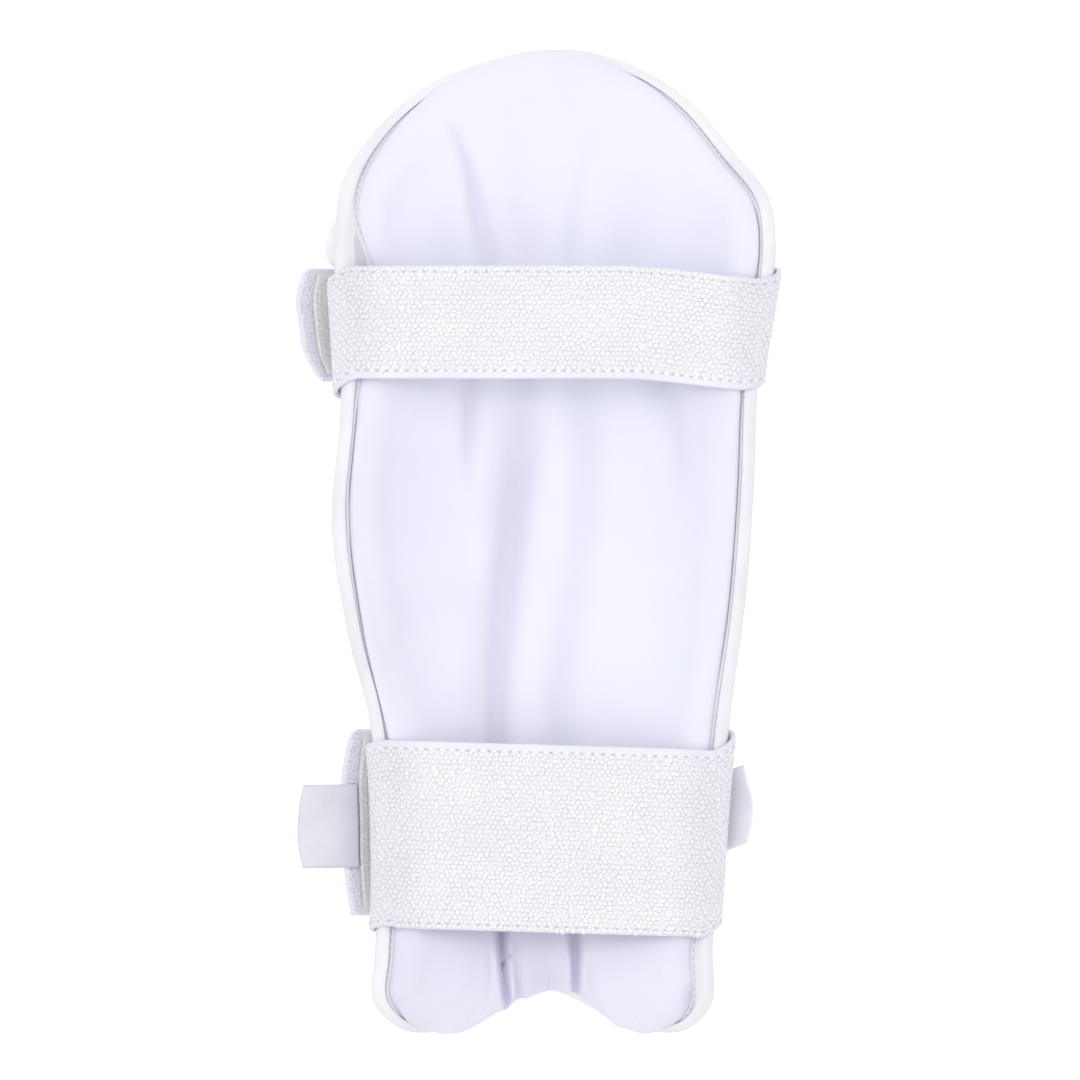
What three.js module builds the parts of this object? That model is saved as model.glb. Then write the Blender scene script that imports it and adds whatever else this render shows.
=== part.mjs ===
// A cricket arm guard: a padded trough that shields the forearm and elbow, held on by two
// wide elastic straps. It lies on its convex front, so the padded arm side faces up.
// Millimetres, +Z up. +Y runs from the wrist end to the elbow end.
import * as THREE from 'three';
import { mergeVertices } from 'three/addons/utils/BufferGeometryUtils.js';

// The whole guard
const guardLength = 315;
const guardWidth = 141; // over the binding, at the elbow
const wristWidth = 109; // over the binding, at the lower strap
const rimRise = 30; // how far the long edges stand above the middle at the elbow
const rimSteepness = 0.8; // sine of the trough's slope at its long edges
const troughFlat = 0.25; // share of the half width that stays flat in the middle
const endLift = 3; // how far both ends curve up
const straightShare = 0.78; // share of the half length that stays straight

// The two pads and the channel that binds them
const foamThickness = 9.5;
const foamShoulder = 24; // how far in from the edge the foam reaches its thickness
const liningThickness = 8;
const liningShoulder = 12;
const edgeThickness = 2; // each pad where the binding holds it
const clearance = 0.3; // between pieces that touch
const bindingWall = 1;
const bindingLeg = 2.4; // how far the channel reaches in over the pads
const bindingRound = 2; // how far its rounded back stands out

// Elastic straps, hook tapes and cloth tabs
const elasticThickness = 1.9;
const strapStandoff = 0.6; // between an elastic and the pad that it wraps
const strapSag = 1; // the arm side's run hangs this much in the middle
const tapeThickness = 1.2;
const tapeMargin = 2; // tape edge to elastic edge
const freeHem = 4.5; // bare elastic past the hook tape's end
const tabThickness = 1;
const upperWidth = 36;
const lowerWidth = 60;

const halfLength = guardLength / 2;
const halfWidth = guardWidth / 2;
const channelHalf = clearance / 2 + edgeThickness + clearance;
const bindingHalf = channelHalf + bindingWall;
const tuck = bindingLeg + 2 * clearance; // the pads stay thin this far in
const wristAt = -0.62 * halfLength;
const elbowAt = 0.62 * halfLength;

// The rim seen from above, from the notch in the wrist end up each side to the elbow's top.
// Columns: across, a share of the half width; along, a share of the half length.
const leftRim = [
  { across: -0.007, along: -0.918 },
  { across: -0.199, along: -0.948 },
  { across: -0.426, along: -0.994 },
  { across: -0.661, along: -0.996 },
  { across: -0.799, along: -0.937 },
  { across: -0.794, along: -0.838 },
  { across: -0.78, along: -0.698 },
  { across: -0.813, along: -0.381 },
  { across: -0.916, along: -0.19 },
  { across: -0.987, along: 0.038 },
  { across: -0.949, along: 0.267 },
  { across: -0.976, along: 0.61 },
  { across: -0.929, along: 0.74 },
  { across: -0.738, along: 0.86 },
  { across: -0.511, along: 0.937 },
  { across: -0.184, along: 0.988 },
  { across: 0.028, along: 1 },
];
const rightRim = [
  { across: -0.007, along: -0.918 },
  { across: 0.128, along: -0.938 },
  { across: 0.312, along: -0.984 },
  { across: 0.596, along: -0.999 },
  { across: 0.729, along: -0.946 },
  { across: 0.739, along: -0.825 },
  { across: 0.769, along: -0.616 },
  { across: 0.813, along: -0.375 },
  { across: 0.888, along: -0.114 },
  { across: 0.925, along: 0.121 },
  { across: 0.945, along: 0.343 },
  { across: 1.021, along: 0.59 },
  { across: 0.986, along: 0.698 },
  { across: 0.837, along: 0.787 },
  { across: 0.638, along: 0.892 },
  { across: 0.426, along: 0.957 },
  { across: 0.203, along: 0.992 },
  { across: 0.028, along: 1 },
];

// Long creases in the lining, each followed from the wrist end to the elbow end.
// Columns: along and across as above; depth, a share of the lining's thickness above its
// edge; spread, a share of the half width.
const liningFolds = [
  [ // the main valley, left of the middle
    { along: -0.97, across: -0.16, depth: 0.75, spread: 0.05 },
    { along: -0.85, across: -0.218, depth: 0.7, spread: 0.055 },
    { along: -0.6, across: -0.244, depth: 0.55, spread: 0.06 },
    { along: -0.38, across: -0.25, depth: 0.52, spread: 0.06 },
    { along: -0.11, across: -0.218, depth: 0.48, spread: 0.055 },
    { along: 0.12, across: -0.173, depth: 0.38, spread: 0.052 },
    { along: 0.32, across: -0.136, depth: 0, spread: 0.06 },
  ],
  [ // the second valley, right of the middle
    { along: -0.95, across: 0.08, depth: 0.7, spread: 0.045 },
    { along: -0.85, across: 0.08, depth: 0.66, spread: 0.05 },
    { along: -0.6, across: 0.061, depth: 0.45, spread: 0.06 },
    { along: -0.32, across: 0.05, depth: 0.4, spread: 0.065 },
    { along: -0.08, across: 0.113, depth: 0.34, spread: 0.06 },
    { along: 0.18, across: 0.166, depth: 0.22, spread: 0.058 },
    { along: 0.3, across: 0.13, depth: 0, spread: 0.06 },
  ],
  [ // the crease over the elbow
    { along: 0.5, across: -0.27, depth: 0, spread: 0.08 },
    { along: 0.6, across: -0.3, depth: 0.24, spread: 0.07 },
    { along: 0.72, across: -0.359, depth: 0.3, spread: 0.06 },
    { along: 0.81, across: -0.425, depth: 0.24, spread: 0.055 },
    { along: 0.88, across: -0.51, depth: 0, spread: 0.05 },
  ],
];

// Places where a pad swells above its even thickness.
// Columns: across and along of the centre; reachAcross and reachAlong in the same shares;
// height, a share of the pad's thickness.
const liningSwells = [
  { across: -0.47, along: -0.88, reachAcross: 0.26, reachAlong: 0.14, height: 0.3 },
  { across: 0.45, along: -0.88, reachAcross: 0.28, reachAlong: 0.14, height: 0.3 },
  { across: -0.08, along: -0.2, reachAcross: 0.12, reachAlong: 0.6, height: 0.12 },
];
const foamSwells = [
  { across: -0.95, along: 0.63, reachAcross: 0.16, reachAlong: 0.05, height: 0.62 },
];

// Each strap: its middle line, the slant of its runs, and its free end.
// centre, a share of the half length; armSlant and armDrop move the arm side's run;
// sewnShift and freeShift move its two runs on the front; freeEnd, how far the free end
// reaches across from the wrist side edge of the elastic to its elbow side edge; liftOff,
// where it leaves the front; both are shares of the half width.
const straps = {
  upper: {
    width: upperWidth,
    centre: 0.441,
    armSlant: 0,
    armDrop: 4,
    sewnShift: -6,
    freeShift: 0,
    liftOff: -0.78,
    freeEnd: [-1.04, -1.11, -1.133, -1.145, -1.11],
  },
  lower: {
    width: lowerWidth,
    centre: -0.606,
    armSlant: -0.03,
    armDrop: 0,
    sewnShift: 0,
    freeShift: 5,
    liftOff: -0.62,
    freeEnd: [-0.9, -0.926, -0.932, -0.939, -0.902],
  },
};
const sewnAt = 0.36; // where both elastics are sewn to the front
const tapeFrom = -0.5; // where the hook tape starts on the front
const layerRamp = 0.12; // over how much of the width the elastic climbs onto another layer

// The two cloth tabs. Lengths in mm, turns in degrees.
const strapTab = { width: 27, length: 21, shift: -1, rise: 38, curl: -34 };
const careTab = { width: 26, length: 14.5, shift: 10.5, rise: 38, curl: 0, seat: 0.66 };

// How finely the sheets are divided
const wristRows = 13;
const sideRows = 26;
const domeRows = 13;
const rowCount = wristRows + sideRows + domeRows;

const clamp01 = (value) => Math.min(1, Math.max(0, value));
const mix = (from, to, share) => from + (to - from) * share;
const ease = (from, to, value) => {
  const share = clamp01((value - from) / (to - from));
  return share * share * (3 - 2 * share);
};
const roundedStep = (share) => Math.sqrt(1 - (1 - clamp01(share)) ** 2);

// The middle surface: a trough that narrows towards the wrist and lifts at both ends.
function troughHeight(x, y) {
  const taper = clamp01((y - wristAt) / (elbowAt - wristAt));
  const half = mix(wristWidth, guardWidth, taper) / 2;
  const bend = Math.max(0, Math.abs(x) / half - troughFlat) / (1 - troughFlat);
  const sine = Math.min(0.97, rimSteepness * bend);
  const arc = (1 - Math.sqrt(1 - sine ** 2)) / (1 - Math.sqrt(1 - rimSteepness ** 2));
  const end = Math.max(0, Math.abs(y) / halfLength - straightShare) / (1 - straightShare);
  return (rimRise * half * arc) / halfWidth + endLift * end ** 2;
}

function troughNormal(x, y) {
  const step = 0.5;
  const slopeX = (troughHeight(x + step, y) - troughHeight(x - step, y)) / (2 * step);
  const slopeY = (troughHeight(x, y + step) - troughHeight(x, y - step)) / (2 * step);
  return new THREE.Vector3(-slopeX, -slopeY, 1).normalize();
}

// A point that stands off the middle surface by a height along its normal
function lift(x, y, height) {
  const foot = new THREE.Vector3(x, y, troughHeight(x, y));
  return foot.addScaledVector(troughNormal(x, y), height);
}

// One side of the rim as a fine line: the closed spline through both tables is split at the
// notch and at the elbow's top, and moved in so that the binding's back meets the outline.
// Each spot has its point and the way out of the guard there, both seen from above.
function rimLines() {
  const toPoint = (row) => new THREE.Vector3(row.across * halfWidth, row.along * halfLength, 0);
  const backDown = rightRim.slice(1, -1).reverse();
  const points = [...leftRim, ...backDown].map(toPoint);
  const outline = new THREE.CatmullRomCurve3(points, true, 'centripetal');
  const top = (leftRim.length - 1) / points.length;
  const fineness = 260;
  const side = (from, to) => {
    const line = [];
    for (let i = 0; i <= fineness; i += 1) {
      const share = mix(from, to, i / fineness) % 1;
      const edge = outline.getPoint(share);
      const tangent = outline.getTangent(share);
      const outward = new THREE.Vector2(-tangent.y, tangent.x);
      const inner = troughHeight(edge.x - outward.x, edge.y - outward.y);
      const slope = Math.atan(troughHeight(edge.x, edge.y) - inner);
      const inset = Math.hypot(bindingRound * Math.cos(slope), bindingHalf * Math.sin(slope));
      const point = new THREE.Vector2(edge.x, edge.y).addScaledVector(outward, -inset);
      line.push({ point, outward });
    }
    return line;
  };
  return { left: side(0, top), right: side(1, top) };
}

const rim = rimLines();

const between = (low, high, share) => ({
  point: low.point.clone().lerp(high.point, share),
  outward: low.outward.clone().lerp(high.outward, share).normalize(),
});

// Where a rim line crosses a given y on its long side: the first spot past it
function pastHeight(line, y) {
  let index = line.length - 1;
  while (line[index - 1].point.y > y) index -= 1;
  return index;
}

function rimAt(line, y) {
  const index = pastHeight(line, y);
  const [low, high] = [line[index - 1], line[index]];
  return between(low, high, (y - low.point.y) / (high.point.y - low.point.y));
}

// Spots at equal steps of length along a line
function evenSpots(line, count) {
  const lengths = [0];
  for (let i = 1; i < line.length; i += 1) {
    lengths.push(lengths[i - 1] + line[i].point.distanceTo(line[i - 1].point));
  }
  const spots = [];
  let next = 1;
  for (let i = 0; i <= count; i += 1) {
    const target = (lengths.at(-1) * i) / count;
    while (next < line.length - 1 && lengths[next] < target) next += 1;
    const share = (target - lengths[next - 1]) / (lengths[next] - lengths[next - 1]);
    spots.push(between(line[next - 1], line[next], share));
  }
  return spots;
}

// Rows across the guard: each has a left and a right rim spot and the point on the spine
// where its two halves meet. They are level along the sides and fan out at both ends.
function makeRows() {
  const fanLow = -0.8 * halfLength;
  const fanHigh = 0.6 * halfLength;
  const spineLow = -0.76 * halfLength;
  const spineHigh = 0.84 * halfLength;
  const spineStart = -0.68 * halfLength;
  const halves = {};
  for (const name of ['left', 'right']) {
    const line = rim[name];
    const wristEnd = [...line.slice(0, pastHeight(line, fanLow)), rimAt(line, fanLow)];
    const elbowEnd = [rimAt(line, fanHigh), ...line.slice(pastHeight(line, fanHigh))];
    const middle = [];
    for (let i = 1; i < sideRows; i += 1) {
      middle.push(rimAt(line, mix(fanLow, fanHigh, i / sideRows)));
    }
    halves[name] = [
      ...evenSpots(wristEnd, wristRows),
      ...middle,
      ...evenSpots(elbowEnd, domeRows),
    ];
  }
  return halves.left.map((left, i) => {
    const above = Math.max(0, i - wristRows) / (rowCount - wristRows);
    const spineY = i < wristRows
      ? mix(spineLow, spineStart, i / wristRows)
      : mix(spineStart, spineHigh, above);
    return { left, right: halves.right[i], spine: new THREE.Vector2(0, spineY) };
  });
}

const rows = makeRows();

// How far to go towards a place, seen from above, for each mm of depth square in from the rim
function planRun({ point, outward }, towards) {
  const slope = troughHeight(point.x, point.y)
    - troughHeight(point.x - outward.x, point.y - outward.y);
  const inward = towards.clone().sub(point).normalize();
  return 1 / Math.hypot(1, slope) / Math.max(0.4, -inward.dot(outward));
}

// Places along one half row: first at set depths in from the edge, then at shares of what
// is left up to the spine. Each place has its x, y and its depth from the edge.
function halfRow(row, side, edgeDepths, innerShares) {
  const from = row[side].point;
  const length = from.distanceTo(row.spine) / planRun(row[side], row.spine);
  const depths = [...edgeDepths];
  for (const share of innerShares) depths.push(mix(edgeDepths.at(-1), length, share));
  return depths.map((depth) => {
    const spot = from.clone().lerp(row.spine, depth / length);
    return { x: spot.x, y: spot.y, depth };
  });
}

function swellAt(swells, x, y) {
  let total = 0;
  for (const swell of swells) {
    const across = (x / halfWidth - swell.across) / swell.reachAcross;
    const along = (y / halfLength - swell.along) / swell.reachAlong;
    total += swell.height * Math.exp(-(across ** 2) - along ** 2);
  }
  return total;
}

function foldAt(fold, x, y) {
  const along = y / halfLength;
  if (along > fold[fold.length - 1].along) return 0;
  let next = 1;
  while (next < fold.length - 1 && fold[next].along < along) next += 1;
  const [low, high] = [fold[next - 1], fold[next]];
  const share = clamp01((along - low.along) / (high.along - low.along));
  const away = (x / halfWidth - mix(low.across, high.across, share))
    / mix(low.spread, high.spread, share);
  return mix(low.depth, high.depth, share) * Math.exp(-(away ** 2));
}

// Height of each pad's outer face over the middle surface
function liningHeight({ x, y, depth }) {
  let fullness = 1 + swellAt(liningSwells, x, y);
  for (const fold of liningFolds) fullness -= foldAt(fold, x, y);
  const body = (liningThickness - edgeThickness) * Math.max(0.1, fullness);
  return clearance / 2 + edgeThickness + body * roundedStep((depth - tuck) / liningShoulder);
}

function foamHeight({ x, y, depth }) {
  const body = foamThickness - edgeThickness;
  const swell = foamThickness * swellAt(foamSwells, x, y) * ease(tuck, foamShoulder / 2, depth);
  return clearance / 2 + edgeThickness + swell
    + body * roundedStep((depth - tuck) / foamShoulder);
}

// Triangles collected from quads. Corners that fall together are merged, and a body that
// came out inside out is turned.
function solidFrom(quads) {
  const corners = [];
  for (const [a, b, c, d] of quads) {
    for (const triangle of [[a, b, c], [a, c, d]]) {
      const [p, q, r] = triangle;
      const flat = p.distanceTo(q) < 1e-4 || q.distanceTo(r) < 1e-4 || r.distanceTo(p) < 1e-4;
      if (!flat) corners.push(triangle);
    }
  }
  let volume = 0;
  for (const [p, q, r] of corners) volume += p.dot(q.clone().cross(r));
  const positions = [];
  for (const [p, q, r] of corners) {
    const ordered = volume < 0 ? [p, r, q] : [p, q, r];
    for (const corner of ordered) positions.push(corner.x, corner.y, corner.z);
  }
  const geometry = new THREE.BufferGeometry();
  geometry.setAttribute('position', new THREE.Float32BufferAttribute(positions, 3));
  const merged = mergeVertices(geometry, 1e-4);
  merged.computeVertexNormals();
  return merged;
}

// A pad: one face on the middle surface, the other at its own height
function padSolid(face, back) {
  const edge = { face: [], back: [] };
  const quads = [];
  const grid = (surface, name) => {
    const lines = rows.map((row) => {
      const left = halfRow(row, 'left', surface.edgeDepths, surface.innerShares);
      const right = halfRow(row, 'right', surface.edgeDepths, surface.innerShares);
      const spots = [...left, ...right.slice(0, -1).reverse()];
      return spots.map((spot) => lift(spot.x, spot.y, surface.height(spot)));
    });
    for (let j = 0; j < lines.length - 1; j += 1) {
      for (let k = 0; k < lines[j].length - 1; k += 1) {
        const [a, b] = [lines[j][k], lines[j][k + 1]];
        const [c, d] = [lines[j + 1][k + 1], lines[j + 1][k]];
        quads.push(name === 'face' ? [a, b, c, d] : [a, d, c, b]);
      }
      edge[name].push([lines[j][0], lines[j + 1][0], lines[j].at(-1), lines[j + 1].at(-1)]);
    }
  };
  grid(face, 'face');
  grid(back, 'back');
  edge.face.forEach(([leftLow, leftHigh, rightLow, rightHigh], j) => {
    const [backLeftLow, backLeftHigh, backRightLow, backRightHigh] = edge.back[j];
    quads.push([leftLow, leftHigh, backLeftHigh, backLeftLow]);
    quads.push([rightLow, backRightLow, backRightHigh, rightHigh]);
  });
  return solidFrom(quads);
}

const matingEdge = [0, tuck + 6];
const matingShares = [0.33, 0.66, 1];

function liningPad() {
  const shoulder = [0.1, 0.4, 1].map((share) => tuck + share * liningShoulder);
  const face = {
    edgeDepths: [0, tuck, ...shoulder],
    innerShares: [0.26, 0.47, 0.62, 0.7, 0.77, 0.83, 0.88, 0.94, 1],
    height: liningHeight,
  };
  const back = {
    edgeDepths: matingEdge,
    innerShares: matingShares,
    height: () => clearance / 2,
  };
  return padSolid(face, back);
}

function outerPad() {
  const shoulder = [0.06, 0.25, 0.55, 1].map((share) => tuck + share * foamShoulder);
  const face = {
    edgeDepths: matingEdge,
    innerShares: matingShares,
    height: () => -clearance / 2,
  };
  const back = {
    edgeDepths: [0, tuck, ...shoulder],
    innerShares: [0.25, 0.5, 0.75, 1],
    height: (spot) => -foamHeight(spot),
  };
  return padSolid(face, back);
}

// Sections joined one after another. Each is a closed ring of points with the same count.
function loft(sections, closed) {
  const quads = [];
  const count = sections[0].length;
  const last = closed ? sections.length : sections.length - 1;
  for (let j = 0; j < last; j += 1) {
    const [low, high] = [sections[j], sections[(j + 1) % sections.length]];
    for (let k = 0; k < count; k += 1) {
      const next = (k + 1) % count;
      quads.push([low[k], low[next], high[next], high[k]]);
    }
  }
  if (!closed) {
    for (const [ring, turned] of [[sections[0], true], [sections.at(-1), false]]) {
      for (let k = 0; k < count / 2 - 1; k += 1) {
        const cap = [ring[k], ring[k + 1], ring[count - 2 - k], ring[count - 1 - k]];
        quads.push(turned ? cap.reverse() : cap);
      }
    }
  }
  return solidFrom(quads);
}

// The binding is a channel swept round the rim, over both pads' thin edges
function edgeBinding() {
  const left = rows.map((row) => row.left);
  const right = rows.slice(1, -1).map((row) => row.right).reverse();
  const loop = [...left, ...right].map(({ point }) => lift(point.x, point.y, 0));
  const corner = 0.62;
  const bulge = 0.8;
  const floor = clearance;
  const section = [
    [-bindingLeg, -bindingHalf],
    [0, -bindingHalf],
    [bindingRound * bulge, -bindingHalf * corner],
    [bindingRound, 0],
    [bindingRound * bulge, bindingHalf * corner],
    [0, bindingHalf],
    [-bindingLeg, bindingHalf],
    [-bindingLeg, channelHalf],
    [floor, channelHalf],
    [floor, -channelHalf],
    [-bindingLeg, -channelHalf],
  ];
  const sections = loop.map((centre, j) => {
    const before = loop.at(j - 1);
    const after = loop[(j + 1) % loop.length];
    const along = after.clone().sub(before).normalize();
    const up = troughNormal(centre.x, centre.y);
    const out = along.clone().cross(up).normalize().negate();
    return section.map(([outward, upward]) => centre.clone()
      .addScaledVector(out, outward)
      .addScaledVector(up, upward));
  });
  return loft(sections, true);
}

// The rim's own axes at a given y: out of the pad, and up off its arm side
function rimFrame(side, y) {
  const sign = side === 'left' ? -1 : 1;
  const at = (value) => {
    const { point } = rimAt(rim[side], value);
    return lift(point.x, point.y, 0);
  };
  const centre = at(y);
  const along = at(y + 2).sub(at(y - 2)).normalize();
  const up = troughNormal(centre.x, centre.y);
  const out = along.clone().cross(up).normalize().multiplyScalar(sign);
  const run = planRun(rimAt(rim[side], y), new THREE.Vector2(0, y));
  return { centre, out, up, run, sign };
}

// A place on a strap: the point on the elastic's inner face and the way that face looks away
// from the pad
function frontPlace(x, y, offset) {
  const side = x < 0 ? 'left' : 'right';
  const frame = rimFrame(side, y);
  const depth = Math.max(0, Math.abs(frame.centre.x - x) / frame.run);
  const pad = depth < tuck ? bindingHalf : foamHeight({ x, y, depth });
  const height = -Math.max(pad, bindingHalf) - strapStandoff - offset;
  return { point: lift(x, y, height), normal: troughNormal(x, y).negate() };
}

function turnPlace(side, y, angle) {
  const frame = rimFrame(side, y);
  const reachOut = bindingRound + strapStandoff;
  const reachUp = bindingHalf + strapStandoff;
  const [outward, upward] = [Math.cos(angle), Math.sin(angle)];
  const point = frame.centre.clone()
    .addScaledVector(frame.out, reachOut * outward)
    .addScaledVector(frame.up, reachUp * upward);
  const normal = frame.out.clone().multiplyScalar(outward / reachOut)
    .addScaledVector(frame.up, upward / reachUp)
    .normalize();
  return { point, normal };
}

// The angle on the rim's turn where the elastic points straight up and leaves for the chord
function leaveAngle(side, y) {
  const { out, up } = rimFrame(side, y);
  const reachOut = bindingRound + strapStandoff;
  const reachUp = bindingHalf + strapStandoff;
  return Math.atan2(up.z * reachUp, out.z * reachOut);
}

const layer = elasticThickness + clearance;
const tapeLayer = tapeThickness + clearance;
const turnSteps = 5;
const chordSteps = 8;
const underside = -Math.PI / 2;
// Depths in from the rim where the elastic bends most
const edgeSteps = [0, 0.06, 0.16, 0.3, 0.5, 0.75, 1].map((share) => tuck + share * foamShoulder);

// Even steps from one value to another, without the first
const spread = (from, to, count) => {
  const steps = Array.from({ length: count }, (_, i) => (i + 1) / count);
  return steps.map((share) => mix(from, to, share));
};

const nearEdge = (side, y) => {
  const { centre, sign, run } = rimFrame(side, y);
  return edgeSteps.map((depth) => centre.x - sign * depth * run);
};

// One line of an elastic, from its sewn end round the guard to its free end. The share says
// where the line lies across the elastic's width, 0 on the wrist side and 1 on the elbow's.
function strapLine(strap, share) {
  const base = strap.centre * halfLength + (share - 0.5) * strap.width;
  const sewnY = base + strap.sewnShift;
  const freeY = base + strap.freeShift;
  const armY = (x) => base + strap.armSlant * x - strap.armDrop * ease(0.3, 1, x / halfWidth);
  const sewnX = sewnAt * halfWidth;
  const rampX = (sewnAt + layerRamp) * halfWidth;
  const flatX = (troughFlat * wristWidth) / 2;
  const tapeX = tapeFrom * halfWidth;
  const tapeRampX = (tapeFrom + layerRamp) * halfWidth;
  const places = [];

  const leftEdge = nearEdge('left', sewnY).reverse();
  for (const x of [sewnX, ...spread(sewnX, leftEdge[0], 6), ...leftEdge.slice(1)]) {
    places.push(frontPlace(x, sewnY, 0));
  }
  const leftY = armY(-halfWidth);
  const leftTop = leaveAngle('left', leftY);
  for (let i = 0; i <= turnSteps; i += 1) {
    const turn = i / turnSteps;
    places.push(turnPlace('left', mix(sewnY, leftY, turn), mix(underside, leftTop, turn)));
  }
  const rightY = armY(halfWidth);
  const rightTop = leaveAngle('right', rightY);
  const start = places.at(-1).point;
  const end = turnPlace('right', rightY, rightTop).point;
  for (let i = 1; i < chordSteps; i += 1) {
    const run = i / chordSteps;
    const point = start.clone().lerp(end, run);
    point.y = armY(point.x);
    point.z -= strapSag * (1 - (2 * run - 1) ** 2);
    places.push({ point, normal: new THREE.Vector3(0, 0, 1) });
  }
  for (let i = 0; i <= turnSteps; i += 1) {
    const turn = i / turnSteps;
    places.push(turnPlace('right', mix(rightY, freeY, turn), mix(rightTop, underside, turn)));
  }
  const climb = (x) => layer * ease(rampX, sewnX, x) + tapeLayer * ease(tapeRampX, tapeX, x);
  const rightEdge = nearEdge('right', freeY);
  const before = [
    ...rightEdge,
    ...spread(rightEdge.at(-1), rampX, 3),
    ...spread(rampX, sewnX, 2),
    ...spread(sewnX, flatX, 1),
    ...spread(flatX, -flatX, 2),
    ...spread(-flatX, tapeRampX, 2),
    ...spread(tapeRampX, tapeX, 2),
  ];
  const liftX = strap.liftOff * halfWidth;
  const onTape = spread(tapeX, liftX, 6);
  for (const x of [...before, ...onTape]) places.push(frontPlace(x, freeY, climb(x)));

  // From here the free end stands straight out, past the elastic's own turn
  const leave = places.at(-1);
  const away = new THREE.Vector3(0, 1, 0).cross(leave.normal).normalize();
  const standOut = (x) => ({
    point: leave.point.clone().addScaledVector(away, (x - leave.point.x) / away.x),
    normal: leave.normal,
  });
  const reach = new THREE.SplineCurve(
    strap.freeEnd.map((value, i) => new THREE.Vector2(i / (strap.freeEnd.length - 1), value)),
  );
  const tipX = reach.getPoint(share).y * halfWidth;
  const tapeEnd = standOut(tipX + freeHem);
  const tape = [frontPlace(tapeX, freeY, climb(tapeX)), ...places.slice(-onTape.length), tapeEnd];
  const seam = standOut(tipX + freeHem - clearance);
  return { places: [...places, tapeEnd, standOut(tipX)], tape, seam };
}

// A flat band between two heights over its places: each line of places runs along the band
function bandSolid(lines, from, to) {
  const sections = lines[0].map((_, i) => {
    const lower = lines.map((line) => offsetPlace(line[i], from));
    const upper = lines.map((line) => offsetPlace(line[i], to));
    return [...lower, ...upper.reverse()];
  });
  return loft(sections, false);
}

const offsetPlace = ({ point, normal }, height) => point.clone().addScaledVector(normal, height);

function elasticStrap(strap) {
  const lines = [0, 0.25, 0.5, 0.75, 1].map((share) => strapLine(strap, share).places);
  return bandSolid(lines, 0, elasticThickness);
}

function hookTape(strap) {
  const margin = tapeMargin / strap.width;
  const lines = [margin, 0.25, 0.5, 0.75, 1 - margin].map((share) => strapLine(strap, share).tape);
  return bandSolid(lines, -clearance - tapeThickness, -clearance);
}

// A cloth tab that leaves a face in a given direction and bends steadily as it goes
function tabLine(start, side, { length, rise, curl }, share) {
  const steps = 6;
  const places = [];
  const point = start.clone();
  for (let i = 0; i <= steps; i += 1) {
    const angle = THREE.MathUtils.degToRad(rise + (curl * i) / steps);
    const normal = new THREE.Vector3(side * -Math.sin(angle), 0, Math.cos(angle));
    places.push({ point: point.clone(), normal });
    point.x += (side * Math.cos(angle) * length * share) / steps;
    point.z += (Math.sin(angle) * length * share) / steps;
  }
  return places;
}

// The satin tab caught in the hook tape's seam, on the inner face of the free end
function strapLabel() {
  const strap = straps.lower;
  const middle = 0.5 + strapTab.shift / strap.width;
  const lines = [-0.5, 0, 0.5].map((across) => {
    const share = middle + (across * strapTab.width) / strap.width;
    const start = offsetPlace(strapLine(strap, share).seam, -2 * clearance);
    return tabLine(start, -1, strapTab, 1);
  });
  return bandSolid(lines, 0, tabThickness);
}

// The cloth tab sewn to the outer face of the lower elastic, under the right edge
function careLabel() {
  const strap = straps.lower;
  const seatX = careTab.seat * halfWidth;
  const lines = [-0.5, 0, 0.5].map((across) => {
    const y = strap.centre * halfLength + careTab.shift + across * careTab.width;
    const seat = frontPlace(seatX, y, 0);
    const start = offsetPlace(seat, elasticThickness + clearance + tabThickness);
    return tabLine(start, 1, careTab, 1 + 0.1 * across);
  });
  return bandSolid(lines, 0, tabThickness);
}

const coatedLeather = new THREE.MeshStandardMaterial({ color: 0xf4f4f8, roughness: 0.42 });
const liningCloth = new THREE.MeshStandardMaterial({ color: 0xebe9f6, roughness: 0.85 });
const elastic = new THREE.MeshStandardMaterial({ color: 0xf2f1f7, roughness: 0.95 });
const hookPile = new THREE.MeshStandardMaterial({ color: 0xc3c5c4, roughness: 0.8 });
const satin = new THREE.MeshStandardMaterial({ color: 0xe4e5ee, roughness: 0.5 });

const guard = new THREE.Group();
function addPiece(name, geometry, material) {
  const piece = new THREE.Mesh(geometry, material);
  piece.name = name;
  guard.add(piece);
}
addPiece('outer_pad', outerPad(), coatedLeather);
addPiece('lining_pad', liningPad(), liningCloth);
addPiece('edge_binding', edgeBinding(), coatedLeather);
addPiece('upper_strap', elasticStrap(straps.upper), elastic);
addPiece('lower_strap', elasticStrap(straps.lower), elastic);
addPiece('upper_hook_tape', hookTape(straps.upper), hookPile);
addPiece('lower_hook_tape', hookTape(straps.lower), hookPile);
addPiece('strap_label', strapLabel(), satin);
addPiece('care_label', careLabel(), satin);

// The origin is the middle of the box's underside
const box = new THREE.Box3().setFromObject(guard);
const middle = box.getCenter(new THREE.Vector3());
guard.position.set(-middle.x, -middle.y, -box.min.z);
const assembly = new THREE.Group();
assembly.add(guard);

export default assembly;
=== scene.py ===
# %% [markdown]
# # A padded forearm guard
# The real guard is a bent foam shell with a soft lining on its arm side, a leather channel
# sewn round the rim and two wide elastic straps. It lies on its convex front, and the camera
# looks straight down into it. Blender works here on top of a finished CAD frame: the frame
# gives every piece its place and size, and this script dresses each piece in its real
# surface. Everything below is worked out in millimetres, in the maker's own axes: x across,
# y from the wrist end to the elbow end, z up from the middle of the trough.

# %% The frame
import math

import bmesh
import bpy
import numpy as np
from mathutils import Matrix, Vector
from mathutils.kdtree import KDTree


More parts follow.
